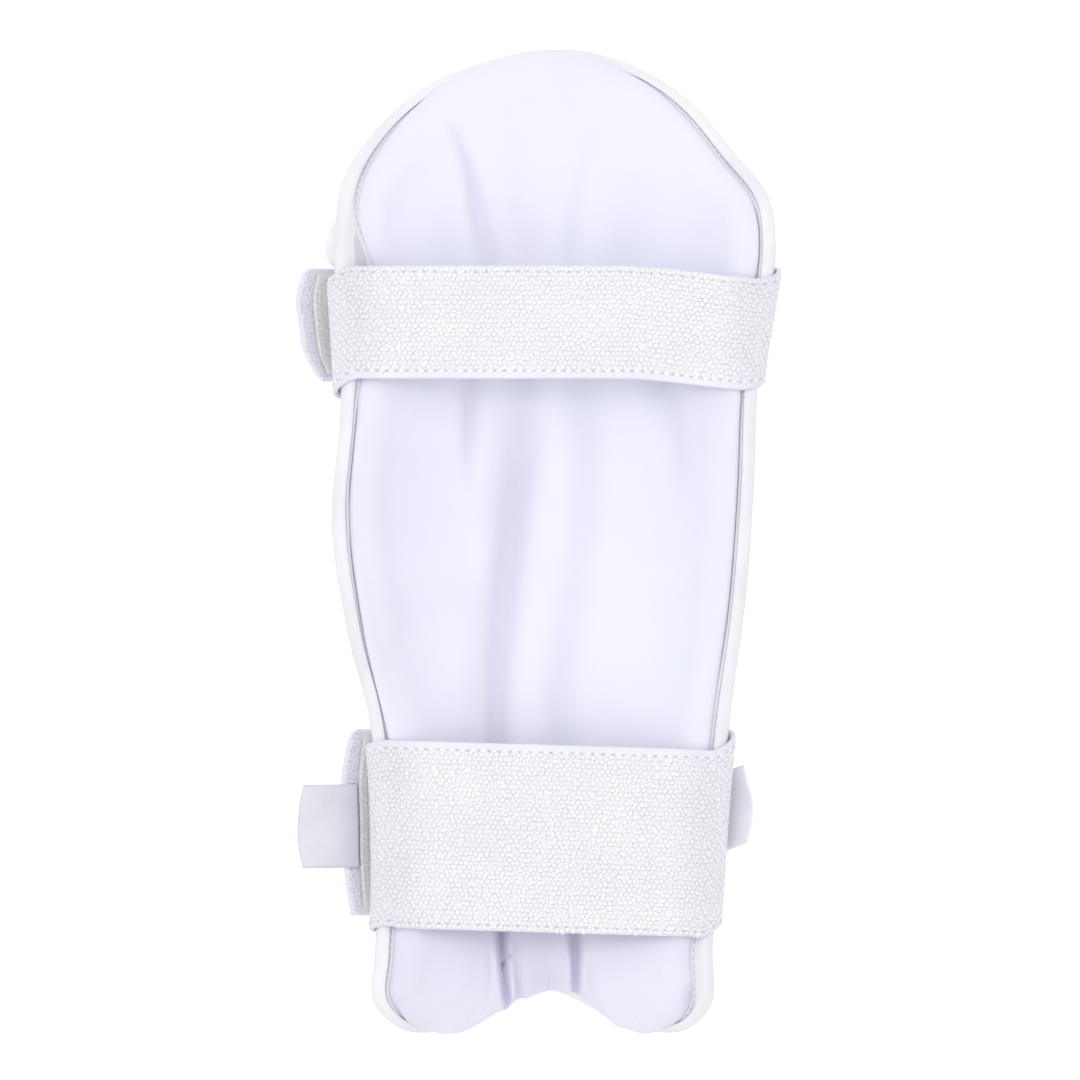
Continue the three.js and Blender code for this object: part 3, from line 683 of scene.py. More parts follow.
# %% Fold tables: along and across as shares, depth and spread in mm
folds = {
    "main_valley": [
        (-0.97, -0.188, 4.6, 1.5), (-0.93, -0.199, 4.7, 1.5), (-0.87, -0.215, 4.5, 1.6),
        (-0.79, -0.228, 4.9, 2.2), (-0.6, -0.246, 3.8, 3.8), (-0.384, -0.25, 3.6, 4.0),
        (-0.248, -0.24, 4.2, 4.4), (-0.114, -0.21, 4.6, 5.0), (0.02, -0.175, 5.2, 5.6),
        (0.122, -0.15, 5.2, 6.2), (0.203, -0.135, 4.2, 6.4), (0.305, -0.13, 2.8, 6.4),
        (0.44, -0.12, 0.0, 6.0),
    ],
    "second_valley": [
        (-0.97, 0.114, 4.0, 1.3), (-0.93, 0.116, 4.4, 1.3), (-0.86, 0.116, 4.4, 1.4),
        (-0.78, 0.108, 3.6, 2.2), (-0.6, 0.07, 2.4, 4.4), (-0.315, 0.05, 2.0, 5.4),
        (-0.18, 0.095, 2.0, 5.4), (-0.08, 0.13, 1.9, 5.2), (0.02, 0.155, 2.0, 5.0),
        (0.122, 0.168, 2.2, 5.0), (0.205, 0.168, 2.2, 5.6), (0.3, 0.15, 2.0, 6.4),
        (0.42, 0.12, 0.0, 6.0),
    ],
    "wrist_panel": [
        (-0.99, -0.03, 2.2, 8.0), (-0.9, -0.03, 2.3, 8.5), (-0.78, -0.04, 1.6, 9.0),
        (-0.62, -0.06, 0.0, 9.0),
    ],
    "elbow_crease": [
        (0.46, -0.26, 2.0, 5.4), (0.585, -0.288, 2.7, 4.0), (0.652, -0.329, 3.0, 3.1),
        (0.719, -0.36, 2.9, 2.4), (0.768, -0.388, 2.5, 2.0), (0.811, -0.429, 1.7, 1.8),
        (0.863, -0.497, 0.0, 1.6),
    ],
    "elbow_middle": [
        (0.44, -0.08, 1.2, 6.0), (0.6, -0.11, 1.0, 5.5), (0.72, -0.14, 0.6, 4.5),
        (0.82, -0.16, 0.0, 4.0),
    ],
    "elbow_line": [
        (0.5, 0.09, 1.1, 3.0), (0.62, 0.1, 1.3, 2.8), (0.72, 0.14, 0.8, 2.4),
        (0.8, 0.17, 0.0, 2.2),
    ],
    "elbow_hollow": [
        (0.42, 0.34, 1.4, 9.0), (0.56, 0.35, 1.4, 8.5), (0.66, 0.36, 0.8, 7.0),
        (0.76, 0.37, 0.0, 6.0),
    ],
    "elbow_left_hollow": [
        (0.44, -0.42, 1.2, 8.0), (0.6, -0.48, 1.0, 7.0), (0.7, -0.52, 0.0, 6.0),
    ],
    "under_upper_strap": [
        (0.1, -0.385, 0.0, 2.4), (0.19, -0.38, 2.2, 2.8), (0.28, -0.372, 3.4, 3.2),
        (0.42, -0.35, 2.6, 4.4),
    ],
    "faint_line": [
        (-0.02, -0.31, 0.0, 1.0), (0.02, -0.3, 0.4, 1.0), (0.15, -0.272, 0.5, 1.0),
        (0.26, -0.25, 0.0, 1.0),
    ],
    "left_of_main": [
        (-0.6, -0.34, 0.0, 5.0), (-0.4, -0.35, 0.9, 5.0), (-0.2, -0.34, 0.8, 5.0),
        (-0.05, -0.32, 0.0, 5.0),
    ],
    "right_shoulder": [
        (0.08, 0.66, 0.0, 4.0), (0.2, 0.62, 1.4, 4.5), (0.3, 0.55, 2.2, 6.0),
        (0.4, 0.5, 2.0, 8.0),
    ],
    "wrist_roll": [
        (-0.985, -0.138, 2.6, 1.0), (-0.93, -0.14, 2.4, 1.1), (-0.86, -0.15, 1.8, 1.4),
        (-0.78, -0.16, 0.9, 1.8), (-0.68, -0.16, 0.0, 2.4),
    ],
    "lobe_pleat_left": [
        (-0.94, -0.3, 0.0, 1.5), (-0.88, -0.285, 0.9, 1.6), (-0.8, -0.3, 0.0, 2.0),
    ],
    "corner_pucker": [
        (-0.965, 0.655, 0.0, 0.7), (-0.94, 0.67, 5.0, 1.0), (-0.91, 0.685, 5.0, 0.9),
        (-0.885, 0.694, 0.0, 0.7),
    ],
    "corner_pleat": [
        (-0.96, 0.72, 0.0, 0.7), (-0.935, 0.71, 3.4, 0.9), (-0.905, 0.697, 0.0, 0.7),
    ],
    "lobe_pleat_right": [
        (-0.95, 0.2, 0.0, 1.2), (-0.9, 0.17, 1.2, 1.3), (-0.84, 0.17, 0.0, 1.6),
    ],
}

# Swells: across, along, reach across, reach along, height in mm
swells = [
    (-0.47, -0.89, 0.2, 0.13, 3.6),
    (0.42, -0.89, 0.24, 0.13, 3.6),
    (-0.06, -0.2, 0.1, 0.5, 1.0),
    (-0.168, -0.92, 0.025, 0.1, 1.0),
    (0.09, -0.9, 0.025, 0.09, 1.0),
    (-0.6, 0.0, 0.3, 0.5, 0.5),
    (0.6, 0.1, 0.25, 0.5, 0.4),
]


def fold_depth(table, x, y):
    table = np.array(table)
    along = y / half_length
    across, depth, spread = (np.interp(along, table[:, 0], table[:, k]) for k in (1, 2, 3))
    inside = ease(table[0, 0] - 0.03, table[0, 0], along)
    inside = inside * (1 - ease(table[-1, 0], table[-1, 0] + 0.03, along))
    return depth * inside * bell((x - across * half_width) / spread)


def lining_body(x, y):
    """Height of the lining's top over the middle sheet, away from its edge."""
    height = np.full_like(x, lining_thickness)
    for across, along, reach_x, reach_y, swell in swells:
        away = np.hypot((x / half_width - across) / reach_x, (y / half_length - along) / reach_y)
        height = height + swell * bell(away)
    for table in folds.values():
        height = height - fold_depth(table, x, y)
    return np.maximum(height, 3.0)


def painted_shade_share(x, y):
    """How much painted shade a place gets, 0 to 1: deep in a fold, or between the wrist's lobes."""
    deep = sum(fold_depth(table, x, y) for table in folds.values()) / 6.5
    wrist = 1 - ease(-0.82, -0.66, y / half_length)
    return np.clip(deep + 0.22 * wrist, 0, 1)


def soft_noise(x, y, size, seed):
    """Gentle unevenness: a few crossing waves with seeded directions."""
    draw = np.random.default_rng(seed)
    total = np.zeros_like(x)
    for _ in range(7):
        turn, phase = draw.uniform(0, 2 * math.pi, 2)
        length = size * draw.uniform(0.7, 1.6)
        total += np.sin((x * math.cos(turn) + y * math.sin(turn)) * 2 * math.pi / length + phase)
    return total / 7


# %% [markdown]
# ## The lining
# The top is a fine grid. Close to the seam its section is a roll: it rises from the
# binding's leg, bulges out over it and turns in to the full thickness, drawn by a quarter
# turn with a sideways push that fades out.

# %% The lining's two faces
roll_columns = 50
inner_columns = 38
roll_overlap = 0.45  # the roll starts this far under the binding's leg
most_push = 6.0
pucker_height, pucker_length = 0.08, 5.2
uneven_height, uneven_size, uneven_seed = 0.25, 34.0, 3


def lining_half(side, roll, inner):
    spots, length, plan = pad_plan(side)
    seam = seam_at(side, spots)
    push = np.minimum(seam["push"], most_push)
    seam_out, seam_rise = turned(-seam["leg"], seam_height, seam["twist"], seam["shift"])
    leg = np.maximum(1.0, -seam_out)
    turn = np.linspace(0, 1, roll + 1)[None, :]
    shoulder = np.minimum(lining_shoulder, (length - leg) * 0.6)[:, None]
    begin = leg - roll_overlap
    depth = begin[:, None] + shoulder * (1 - np.cos(turn * math.pi / 2))
    share = np.linspace(0, 1, inner + 1)[None, 1:]
    depth = np.hstack([depth, depth[:, -1:] + (length[:, None] - depth[:, -1:]) * share])
    rise = np.ones_like(depth)
    rise[:, :roll + 1] = np.sin(turn * math.pi / 2)
    lean = np.zeros_like(depth)
    lean[:, :roll + 1] = np.sin(math.pi * turn**0.6) * push[:, None]
    placed = plan(depth - lean)
    body = lining_body(placed[..., 0], placed[..., 1])
    along_rim = spots["side_share"][:, None] * rim[side]["length"]
    waver = 2 * np.sin(along_rim / 17)
    pucker = pucker_height * np.sin(along_rim * 2 * math.pi / pucker_length + waver)
    uneven = soft_noise(placed[..., 0], placed[..., 1], uneven_size, uneven_seed)
    body = body + uneven_height * uneven
    start = (seam_rise - 0.1)[:, None]
    height = start + (np.maximum(body, start + 0.8) - start) * rise
    height = height + pucker * bell((depth - leg[:, None] - 2.5) / 2.0)
    top = lift(placed[..., 0], placed[..., 1], height)
    hem = np.stack([0 * leg, begin - 0.3, begin], axis=1)
    under = plan(hem)
    hem_top = lift(under[..., 0], under[..., 1], np.full(hem.shape, edge_thickness - 0.4))
    back = plan(np.hstack([hem[:, :1], np.linspace(leg, length, 14).T]))
    floor = lift(back[..., 0], back[..., 1], np.full(back.shape[:2], clearance / 2))
    return np.concatenate([hem_top, top], axis=1), floor


def pad_piece(name, halves, material):
    """Joins the left and right halves of both faces into one closed body."""
    faces, points, start = [], [], 0
    for index in (0, 1):
        left, right = halves["left"][index], halves["right"][index]
        whole = np.concatenate([left, right[:, -2::-1]], axis=1)
        faces.append(grid_faces(*whole.shape[:2], start=start, flip=index == 1))
        points.append(whole.reshape(-1, 3))
        start += whole.shape[0] * whole.shape[1]
    tops = halves["left"][0].shape[1] * 2 - 1
    backs = halves["left"][1].shape[1] * 2 - 1
    count = len(spine)
    low = np.arange(count - 1)
    offset = count * tops
    for top_column, back_column in ((0, 0), (tops - 1, backs - 1)):
        top_low, back_low = low * tops + top_column, offset + low * backs + back_column
        wall = np.stack([top_low, top_low + tops, back_low + backs, back_low], axis=1)
        faces.append(wall)
    return make_piece(name, np.concatenate(points), np.concatenate(faces), material)


lining_halves = {s: lining_half(s, roll_columns, inner_columns) for s in ("left", "right")}
print("lining grid:", lining_halves["left"][0].shape)


# %% [markdown]
# ## Letting the cloth settle
# Drawn folds alone look too even. A coarse copy of the lining's top is given to the cloth
# solver: its rim is pinned, the cloth grows by a few per cent and a little pressure from
# the foam below makes it buckle where it likes. The first and last rows are left out, since
# their two halves fall together and a spring without length stops the solver. Only the
# movement across the face is kept, scaled to a small cap, smoothed and added to the fine
# grid. Scaling it, not cutting it off, keeps the swell free of a step near the rim.

# %% Cloth simulation of the lining
growth = 0.03
foam_pressure = 0.35
most_movement = 1.3
settle_frames = 20


def blur(field, passes):
    for _ in range(passes):
        wide = np.pad(field, 1, mode="edge")
        field = (wide[:-2, 1:-1] + wide[2:, 1:-1] + wide[1:-1, :-2] + wide[1:-1, 2:]) / 8 + field / 2
    return field


def settled(grid, pinned, coarse=(70, 40)):
    """The grid with the buckling of a cloth that has grown inside its pinned rim."""
    count = grid.shape[:2]
    pick = [np.linspace(0, n - 1, c).round().astype(int) for n, c in zip(count, coarse)]
    start = grid[np.ix_(*pick)] * 0.01
    mesh = bpy.data.meshes.new("settling")
    faces = grid_faces(*coarse)
    mesh.from_pydata(start.reshape(-1, 3).tolist(), [], faces.tolist())
    cloth = add_object("settling", mesh)
    fixed = cloth.vertex_groups.new(name="rim")
    row, column = np.divmod(np.arange(coarse[0] * coarse[1]), coarse[1])
    in_rim = (column < pinned) | (column >= coarse[1] - pinned) | (row < 2) | (row > coarse[0] - 3)
    fixed.add(np.nonzero(in_rim)[0].tolist(), 1.0, "REPLACE")
    solver = cloth.modifiers.new("cloth", "CLOTH")
    solver.settings.vertex_group_mass = "rim"
    solver.settings.quality = 6
    solver.settings.mass = 0.2
    solver.settings.tension_stiffness = 15
    solver.settings.bending_stiffness = 1.2
    solver.settings.shrink_min = -growth
    solver.settings.use_pressure = True
    solver.settings.uniform_pressure_force = foam_pressure
    solver.settings.effector_weights.gravity = 0
    solver.collision_settings.use_collision = False
    for number in range(1, settle_frames + 1):
        bpy.context.scene.frame_set(number)
    ready = cloth.evaluated_get(bpy.context.evaluated_depsgraph_get())
    end = np.array([v.co[:] for v in ready.data.vertices]).reshape(start.shape)
    bpy.context.scene.frame_set(1)
    bpy.data.objects.remove(cloth)
    across = np.gradient(start, axis=1)
    along = np.gradient(start, axis=0)
    normal = np.cross(across, along)
    normal = normal / np.maximum(np.linalg.norm(normal, axis=2, keepdims=True), 1e-9)
    normal = normal * np.sign(normal[..., 2:] + 1e-9)
    move = np.sum((end - start) * normal, axis=2) * 100
    move = np.where(np.isfinite(move), move, 0)
    most = max(float(np.abs(move).max()), 1e-6)
    print("cloth moved by up to", round(most, 2), "mm, kept", min(round(most, 2), most_movement))
    move = move * min(1.0, most_movement / most)
    fine = np.stack([np.interp(np.arange(count[0]), pick[0], c) for c in move.T], axis=1)
    fine = np.stack([np.interp(np.arange(count[1]), pick[1], r) for r in fine], axis=0)
    fine = blur(fine, 24)
    fine = fine * ease(-0.8, -0.6, grid[..., 1] / half_length)
    return grid + trough_normal(grid[..., 0], grid[..., 1]) * fine[..., None]


left_top, right_top = (lining_halves[s][0] for s in ("left", "right"))
whole_top = np.concatenate([left_top, right_top[:, -2::-1]], axis=1)
hem_columns = 3
free = (slice(1, -1), slice(hem_columns, -hem_columns))
whole_top[free] = settled(whole_top[free], pinned=7)
columns = left_top.shape[1]
lining_halves["left"] = (whole_top[:, :columns], lining_halves["left"][1])
lining_halves["right"] = (whole_top[:, :columns - 2:-1], lining_halves["right"][1])
lining = pad_piece("padded_lining", lining_halves, lining_finish)
seam_line = np.concatenate([left_top[:, hem_columns], right_top[:, hem_columns]])
places = places_of(lining)
normals = trough_normal(places[:, 0], places[:, 1])
above = (places[:, 2] - trough_height(places[:, 0], places[:, 1])) * normals[:, 2]
foot_x = places[:, 0] - normals[:, 0] * above
# Painted shade for the lining's colour: darker in its folds, between the wrist's lobes and within a
# few mm of the seam.
painted_seam_shade = 0.3 * nearness(lining, seam_line, 3.4)
keep(lining, "painted_lining_shade", painted_shade_share(foot_x, places[:, 1]) + painted_seam_shade)
report(lining)


# %% [markdown]
# ## The shell
# The outer pad is moulded foam under coated leather. The elastics run over its front and rest
# on the floor, so it follows the CAD solid closely: full thickness in the middle, thin where
# the binding holds it, and one swell at the left, where the upper strap squeezes the foam out.

# %% Foam height and the shell
foam_swell = {"along": 0.6, "reach": 9.0, "depth": 6.0, "reach_in": 4.4, "height": 7.8}
upper_edge = straps["upper"]["centre"] * half_length + straps["upper"]["width"] / 2


def foam_height(depth):
    body = (foam_thickness - edge_thickness) * rounded_step((depth - tuck) / foam_shoulder)
    return clearance / 2 + edge_thickness + body


def squeezed_out(x, y, depth):
    """The foam that bulges out at the left, just above the upper elastic."""
    along = (y - foam_swell["along"] * half_length) / foam_swell["reach"]
    inward = (depth - foam_swell["depth"]) / foam_swell["reach_in"]
    free = ease(upper_edge - 4, upper_edge + 2, y) * ease(tuck - 1, tuck + 1, depth) * (x < 0)
    return foam_swell["height"] * bell(along) * bell(inward) * free


def shell_half(side):
    spots, length, plan = pad_plan(side)
    turn = np.linspace(0, 1, 22)[None, :]
    shoulder = np.minimum(foam_shoulder, (length - tuck) * 0.8)[:, None]
    depth = tuck + shoulder * (1 - np.cos(turn * math.pi / 2))
    share = np.linspace(0, 1, 30)[None, 1:]
    rest = depth[:, -1:] + (length[:, None] - depth[:, -1:]) * share
    depth = np.hstack([0 * depth[:, :1], depth, rest])
    x, y = np.moveaxis(plan(depth), -1, 0)
    front = lift(x, y, -foam_height(depth) - squeezed_out(x, y, depth))
    inner = plan(np.linspace(0, length, 12).T)
    back = lift(inner[..., 0], inner[..., 1], np.full(inner.shape[:2], -clearance / 2))
    return front, back


shell = pad_piece("leather_shell", {s: shell_half(s) for s in ("left", "right")}, shell_finish)
report(shell)


# %% [markdown]
# ## The binding
# A strip of leather is folded round the rim and sewn through. Its section is a C: the back
# is full and round, the seam pulls a groove along each leg, and a narrow hem lies flat
# beyond the groove. The section is swept round the rim, and each station takes its own leg
# length from the table above.

# %% The binding's sweep
binding_stations = 620
groove_in = 1.5
front_leg = 3.2


def rim_loop(count):
    """Stations round the whole rim: up the left side and down the right."""
    up = rim_spots("left", np.linspace(0, 1, count + 1)[:-1])
    down = rim_spots("right", np.linspace(1, 0, count + 1)[:-1])
    sides = [seam_at("left", up), seam_at("right", down)]
    seam = {key: np.concatenate([part[key] for part in sides]) for key in sides[0]}
    seam["slope"] = np.concatenate([up["slope"], down["slope"]])
    seam["outward"] = np.concatenate([up["outward"], down["outward"]])
    point = np.concatenate([up["point"], down["point"]])
    seam["point"] = point
    centre = lift(point[:, 0], point[:, 1], np.zeros(len(point)))
    along = unit(np.roll(centre, -1, axis=0) - np.roll(centre, 1, axis=0))
    normal = trough_normal(point[:, 0], point[:, 1])
    out = -unit(np.cross(along, normal))
    step = np.linalg.norm(centre - np.roll(centre, 1, axis=0), axis=1)
    return centre, out, normal, seam, np.cumsum(step)


def in_section(out, up):
    """Places at given distances in the binding's section: flat outside the rim, and bent
    along with the sheet inside it, so that a long leg lies on the pad."""
    out, up = turned(out, up, seam["twist"], seam["shift"])
    straight = centre + rim_out * out[:, None] + rim_up * up[:, None]
    plan = seam["point"] + seam["outward"] * (out * np.cos(seam["slope"]))[:, None]
    bent = lift(plan[:, 0], plan[:, 1], up)
    share = (1 - ease(-1.5, 0.0, out))[:, None]
    return straight * (1 - share) + bent * share


def smooth_loop(values, width):
    kernel = np.hanning(2 * width + 3)[1:-1]
    padded = np.concatenate([values[-width:], values, values[:width]])
    return np.convolve(padded, kernel / kernel.sum(), mode="valid")


def binding_section(leg, length):
    """The C's outline at every station, as distances out of the rim and up off the sheet."""
    wobble = 0.16 * np.sin(length / 21) + 0.1 * np.sin(length / 8.3 + 1)
    pull = 0.05 * np.sin(length * 2 * math.pi / 2.5)
    hollow = np.clip((leg - 4.0) / 5.0, 0, 1)
    inner_wall = 1.7
    return [
        (-leg, inner_wall),
        (-leg, seam_height - 0.25),
        (-leg + 0.25, seam_height),
        (-leg + 0.9, seam_height + 0.12),
        (-leg + groove_in, seam_height - 0.16 + pull),
        (-leg + groove_in + 0.6, seam_height + 0.2 + pull),
        (-leg * 0.62 + 0.6, seam_height + 0.55 - hollow * 1.5 + 0.3 * wobble),
        (-leg * 0.2 + 0.1, binding_top - hollow * 0.7 + wobble * 0.6),
        (0.75, binding_top - 0.35 + wobble * 0.5),
        (1.45, 1.75),
        (1.9, 0.8),
        (binding_round, -0.2),
        (1.8, -1.4),
        (1.2, -2.55),
        (0.2, -3.25),
        (-0.9, -3.4 + 0.4 * wobble),
        (groove_in - front_leg + 0.3, -3.15 + pull),
        (groove_in - front_leg, -2.85 + pull),
        (0.5 - front_leg, -3.05),
        (-front_leg, -2.9),
        (-front_leg, -2.45),
        (0.25, -2.45),
        (0.3, -1.2),
        (0.3, 0.6),
        (0.2, inner_wall),
    ]


centre, rim_out, rim_up, seam, rim_length = rim_loop(binding_stations)
seam["leg"] = smooth_loop(seam["leg"], 3)
leg = seam["leg"]
section = binding_section(leg, rim_length)
rings = np.stack([in_section(out, up) for out, up in section], axis=1)
binding = make_piece("leather_binding", *loft(rings, closed=True), binding_finish)
# Painted shade: the binding is coloured darker where its face turns away from straight up, and close
# to the seam.
facing_up = np.array([v.normal.z for v in binding.data.vertices])
painted_outline_shade = 1 - ease(0.05, 0.65, facing_up)
keep(binding, "painted_edge_shade", 0.6 * painted_outline_shade + 0.22 * nearness(binding, seam_line, 2.2))
report(binding)


# %% [markdown]
# ## The elastics
# Each elastic starts at its sewn end on the front, wraps the left edge, crosses over the
# arm side as a stretched chord, wraps the right edge, and comes back under the front to its
# free end. The path is worked out for lines across the elastic, then walked in even steps.

# %% Places along a strap
def rim_frame(side, y):
    sign = -1 if side == "left" else 1

    def at(value):
        point = rim_spots(side, rim_share_at(side, value))["point"]
        return lift(point[..., 0], point[..., 1], np.zeros(len(point)))

    middle = at(y)
    along = unit(at(y + 2) - at(y - 2))
    normal = trough_normal(middle[:, 0], middle[:, 1])
    out = unit(np.cross(along, normal)) * sign
    spots = rim_spots(side, rim_share_at(side, y))
    run = plan_run(spots, np.stack([0 * y, y], axis=1))
    return middle, out, normal, run


def front_place(x, y, offset):
    side = "left" if x[0] < 0 else "right"
    middle, _, _, run = rim_frame(side, y)
    depth = np.maximum(0, np.abs(middle[:, 0] - x) / run)
    pad = np.where(depth < tuck, binding_half, foam_height(depth))
    height = -np.maximum(pad, binding_half) - strap_standoff - offset
    return lift(x, y, height), -trough_normal(x, y)


def turn_place(side, y, angle):
    middle, out, normal, _ = rim_frame(side, y)
    reach = np.array([binding_round, binding_half]) + turn_standoff
    outward, upward = np.cos(angle)[:, None], np.sin(angle)[:, None]
    point = middle + out * reach[0] * outward + normal * reach[1] * upward
    return point, unit(out * outward / reach[0] + normal * upward / reach[1])


def leave_angle(side, y):
    _, out, normal, _ = rim_frame(side, y)
    reach = np.array([binding_round, binding_half]) + turn_standoff
    return np.arctan2(normal[:, 2] * reach[1], out[:, 2] * reach[0])


def near_edge(side, y, steps=14):
    middle, _, _, run = rim_frame(side, y)
    sign = -1 if side == "left" else 1
    depths = tuck + foam_shoulder * np.linspace(0, 1, steps)[:, None] ** 1.7
    return middle[:, 0] - sign * depths * run


def strap_path(strap, shares):
    """Places and outward ways, station by line, and the stations where each part starts."""
    base = strap["centre"] * half_length + (shares - 0.5) * strap["width"]
    sewn_y, free_y = base + strap["sewn_shift"], base + strap["free_shift"]
    places, marks = [], {}

    def arm_y(x):
        return base + strap["arm_slant"] * x - strap["arm_drop"] * ease(0.3, 1, x / half_width)

    def run_front(stops, y, climb=lambda x: 0 * x):
        for x in stops:
            places.append(front_place(x, y, climb(x)))

    def between(start, end, count):
        steps = (np.arange(count) + 1)[:, None] / count
        return start + (end - start) * steps

    one = np.ones_like(base)
    sewn_x = sewn_at * half_width * one
    left_edge = near_edge("left", sewn_y)[::-1]
    run_front([sewn_x, *between(sewn_x, left_edge[0], 24), *left_edge[1:]], sewn_y)
    marks["left_turn"] = len(places)
    left_y, right_y = arm_y(-half_width), arm_y(half_width)
    top = leave_angle("left", left_y)
    for turn in np.linspace(0, 1, 13):
        y = sewn_y + (left_y - sewn_y) * turn
        places.append(turn_place("left", y, -math.pi / 2 + (top + math.pi / 2) * turn))
    marks["chord"] = len(places)
    start = places[-1][0]
    top = leave_angle("right", right_y)
    end = turn_place("right", right_y, top)[0]
    for share in np.linspace(0, 1, 61)[1:-1]:
        point = start + (end - start) * share
        point[:, 1] = arm_y(point[:, 0])
        point[:, 2] -= strap_sag * (1 - (2 * share - 1) ** 2)
        places.append((point, np.tile([0.0, 0.0, 1.0], (len(base), 1))))
    marks["right_turn"] = len(places)
    for turn in np.linspace(0, 1, 13):
        y = right_y + (free_y - right_y) * turn
        places.append(turn_place("right", y, top + (-math.pi / 2 - top) * turn))
    marks["front"] = len(places)

    ramp_x = (sewn_at + layer_ramp) * half_width * one
    flat_x = trough_flat * wrist_width / 2 * one
    tape_x = tape_from * half_width * one
    tape_ramp = (tape_from + layer_ramp) * half_width * one
    lift_x = strap["lift_off"] * half_width * one

    def climb(x):
        onto_tape = ease(tape_ramp[0], tape_x[0], x)
        return layer * ease(ramp_x[0], sewn_x[0], x) + tape_layer * onto_tape

    right_edge = near_edge("right", free_y)
    run_front(right_edge, free_y, climb)
    stops = [(ramp_x, 10), (sewn_x, 6), (flat_x, 6), (-flat_x, 14), (tape_ramp, 6), (tape_x, 6)]
    last = right_edge[-1]
    for stop, count in stops:
        run_front(between(last, stop, count), free_y, climb)
        last = stop
    marks["tape"] = len(places) - 1
    run_front(between(tape_x, lift_x, 16), free_y, climb)

    leave, normal = places[-1]
    away = unit(np.cross([0.0, 1.0, 0.0], normal))
    stops = np.linspace(0, 1, len(strap["free_end"]))
    tip_x = smooth_curve(stops, strap["free_end"], shares) * half_width
    for share in np.linspace(0, 1, 15)[1:]:
        x = leave[:, 0] + (tip_x - leave[:, 0]) * share
        point = leave + away * ((x - leave[:, 0]) / away[:, 0])[:, None]
        places.append((point, normal))
    marks["tip"] = len(places) - 1
    points, normals = (np.stack([p[k] for p in places]) for k in (0, 1))
    return points, normals, marks


def smooth_curve(stops, values, at):
    """A uniform Catmull-Rom curve through values, read at shares."""
    values = np.array([2 * values[0] - values[1], *values, 2 * values[-1] - values[-2]])
    place = np.clip(np.asarray(at), 0, 1) * (len(stops) - 1)
    index = np.minimum(place.astype(int), len(stops) - 2)
    w = place - index
    a, b, c, d = (values[index + k] for k in range(4))
    return b + 0.5 * w * (c - a + w * (2 * a - 5 * b + 4 * c - d + w * (3 * (b - c) + d - a)))


# %% Even steps along a path
def even_path(strap, lines=25, step=1.1, rounding=3):
    """The strap's places at even steps, with its corners rounded as a thick band's are."""
    shares = np.linspace(0, 1, lines)
    points, normals, marks = strap_path(strap, shares)
    middle = points[:, lines // 2]
    length = np.concatenate([[0], np.cumsum(np.linalg.norm(np.diff(middle, axis=0), axis=1))])
    count = int(length[-1] / step)
    at = np.linspace(0, length[-1], count + 1)
    index = np.interp(at, length, np.arange(len(length)))
    low = np.minimum(index.astype(int), len(length) - 2)
    part = (index - low)[:, None, None]
    even = points[low] * (1 - part) + points[low + 1] * part
    facing = normals[low] * (1 - part) + normals[low + 1] * part
    for _ in range(rounding):
        even[1:-1] = (even[:-2] + 2 * even[1:-1] + even[2:]) / 4
        facing[1:-1] = (facing[:-2] + 2 * facing[1:-1] + facing[2:]) / 4
    return {
        "points": even, "normals": unit(facing), "length": at, "step": length[-1] / count,
        "width": strap["width"], "marks": {k: float(length[v]) for k, v in marks.items()},
    }


def on_band(path, along, across, height):
    """Places on a band: along and across in mm, height over its inner face."""
    rows_at = np.clip(along / path["step"], 0, len(path["points"]) - 1.001)
    lines = path["points"].shape[1]
    lines_at = np.clip(across / path["width"], 0, 1) * (lines - 1.001)
    i, j = rows_at.astype(int), lines_at.astype(int)
    u, v = (rows_at - i)[..., None], (lines_at - j)[..., None]

    def read(grid):
        low = grid[i, j] * (1 - v) + grid[i, j + 1] * v
        return low * (1 - u) + (grid[i + 1, j] * (1 - v) + grid[i + 1, j + 1] * v) * u

    normal = unit(read(path["normals"]))
    return read(path["points"]) + normal * np.asarray(height)[..., None], normal


paths = {name: even_path(strap) for name, strap in straps.items()}
for name, path in paths.items():
    marks = {k: round(v) for k, v in path["marks"].items()}
    print(name, "elastic:", round(path["length"][-1]), "mm long, parts start at", marks)


# %% Band bodies with rounded selvages
corner_radius = 3.2
wrap_reach = 13.0  # how far in from its turn an elastic is shaded


def corner_inset(path, along):
    """How far the two corners of the free end are cut back, in mm, at places along a band."""
    near = np.clip(corner_radius - (path["length"][-1] - along), 0, corner_radius)
    return corner_radius - np.sqrt(corner_radius**2 - near**2)


def paint_wrap_shade(piece, path):
    """Keeps with each point how near it lies to the turn round an edge, for the painted shade in its
    colour.
    """
    x = places_of(piece)[:, 0]
    middle_line = path["points"].shape[1] // 2
    stations = [int(path["marks"][key] / path["step"]) for key in ("chord", "right_turn")]
    left, right = path["points"][stations, middle_line, 0]
    at_left = 1 - ease(left - 1, left + wrap_reach, x)
    keep(piece, "painted_wrap_shade", np.maximum(at_left, ease(right - wrap_reach, right + 1, x)))


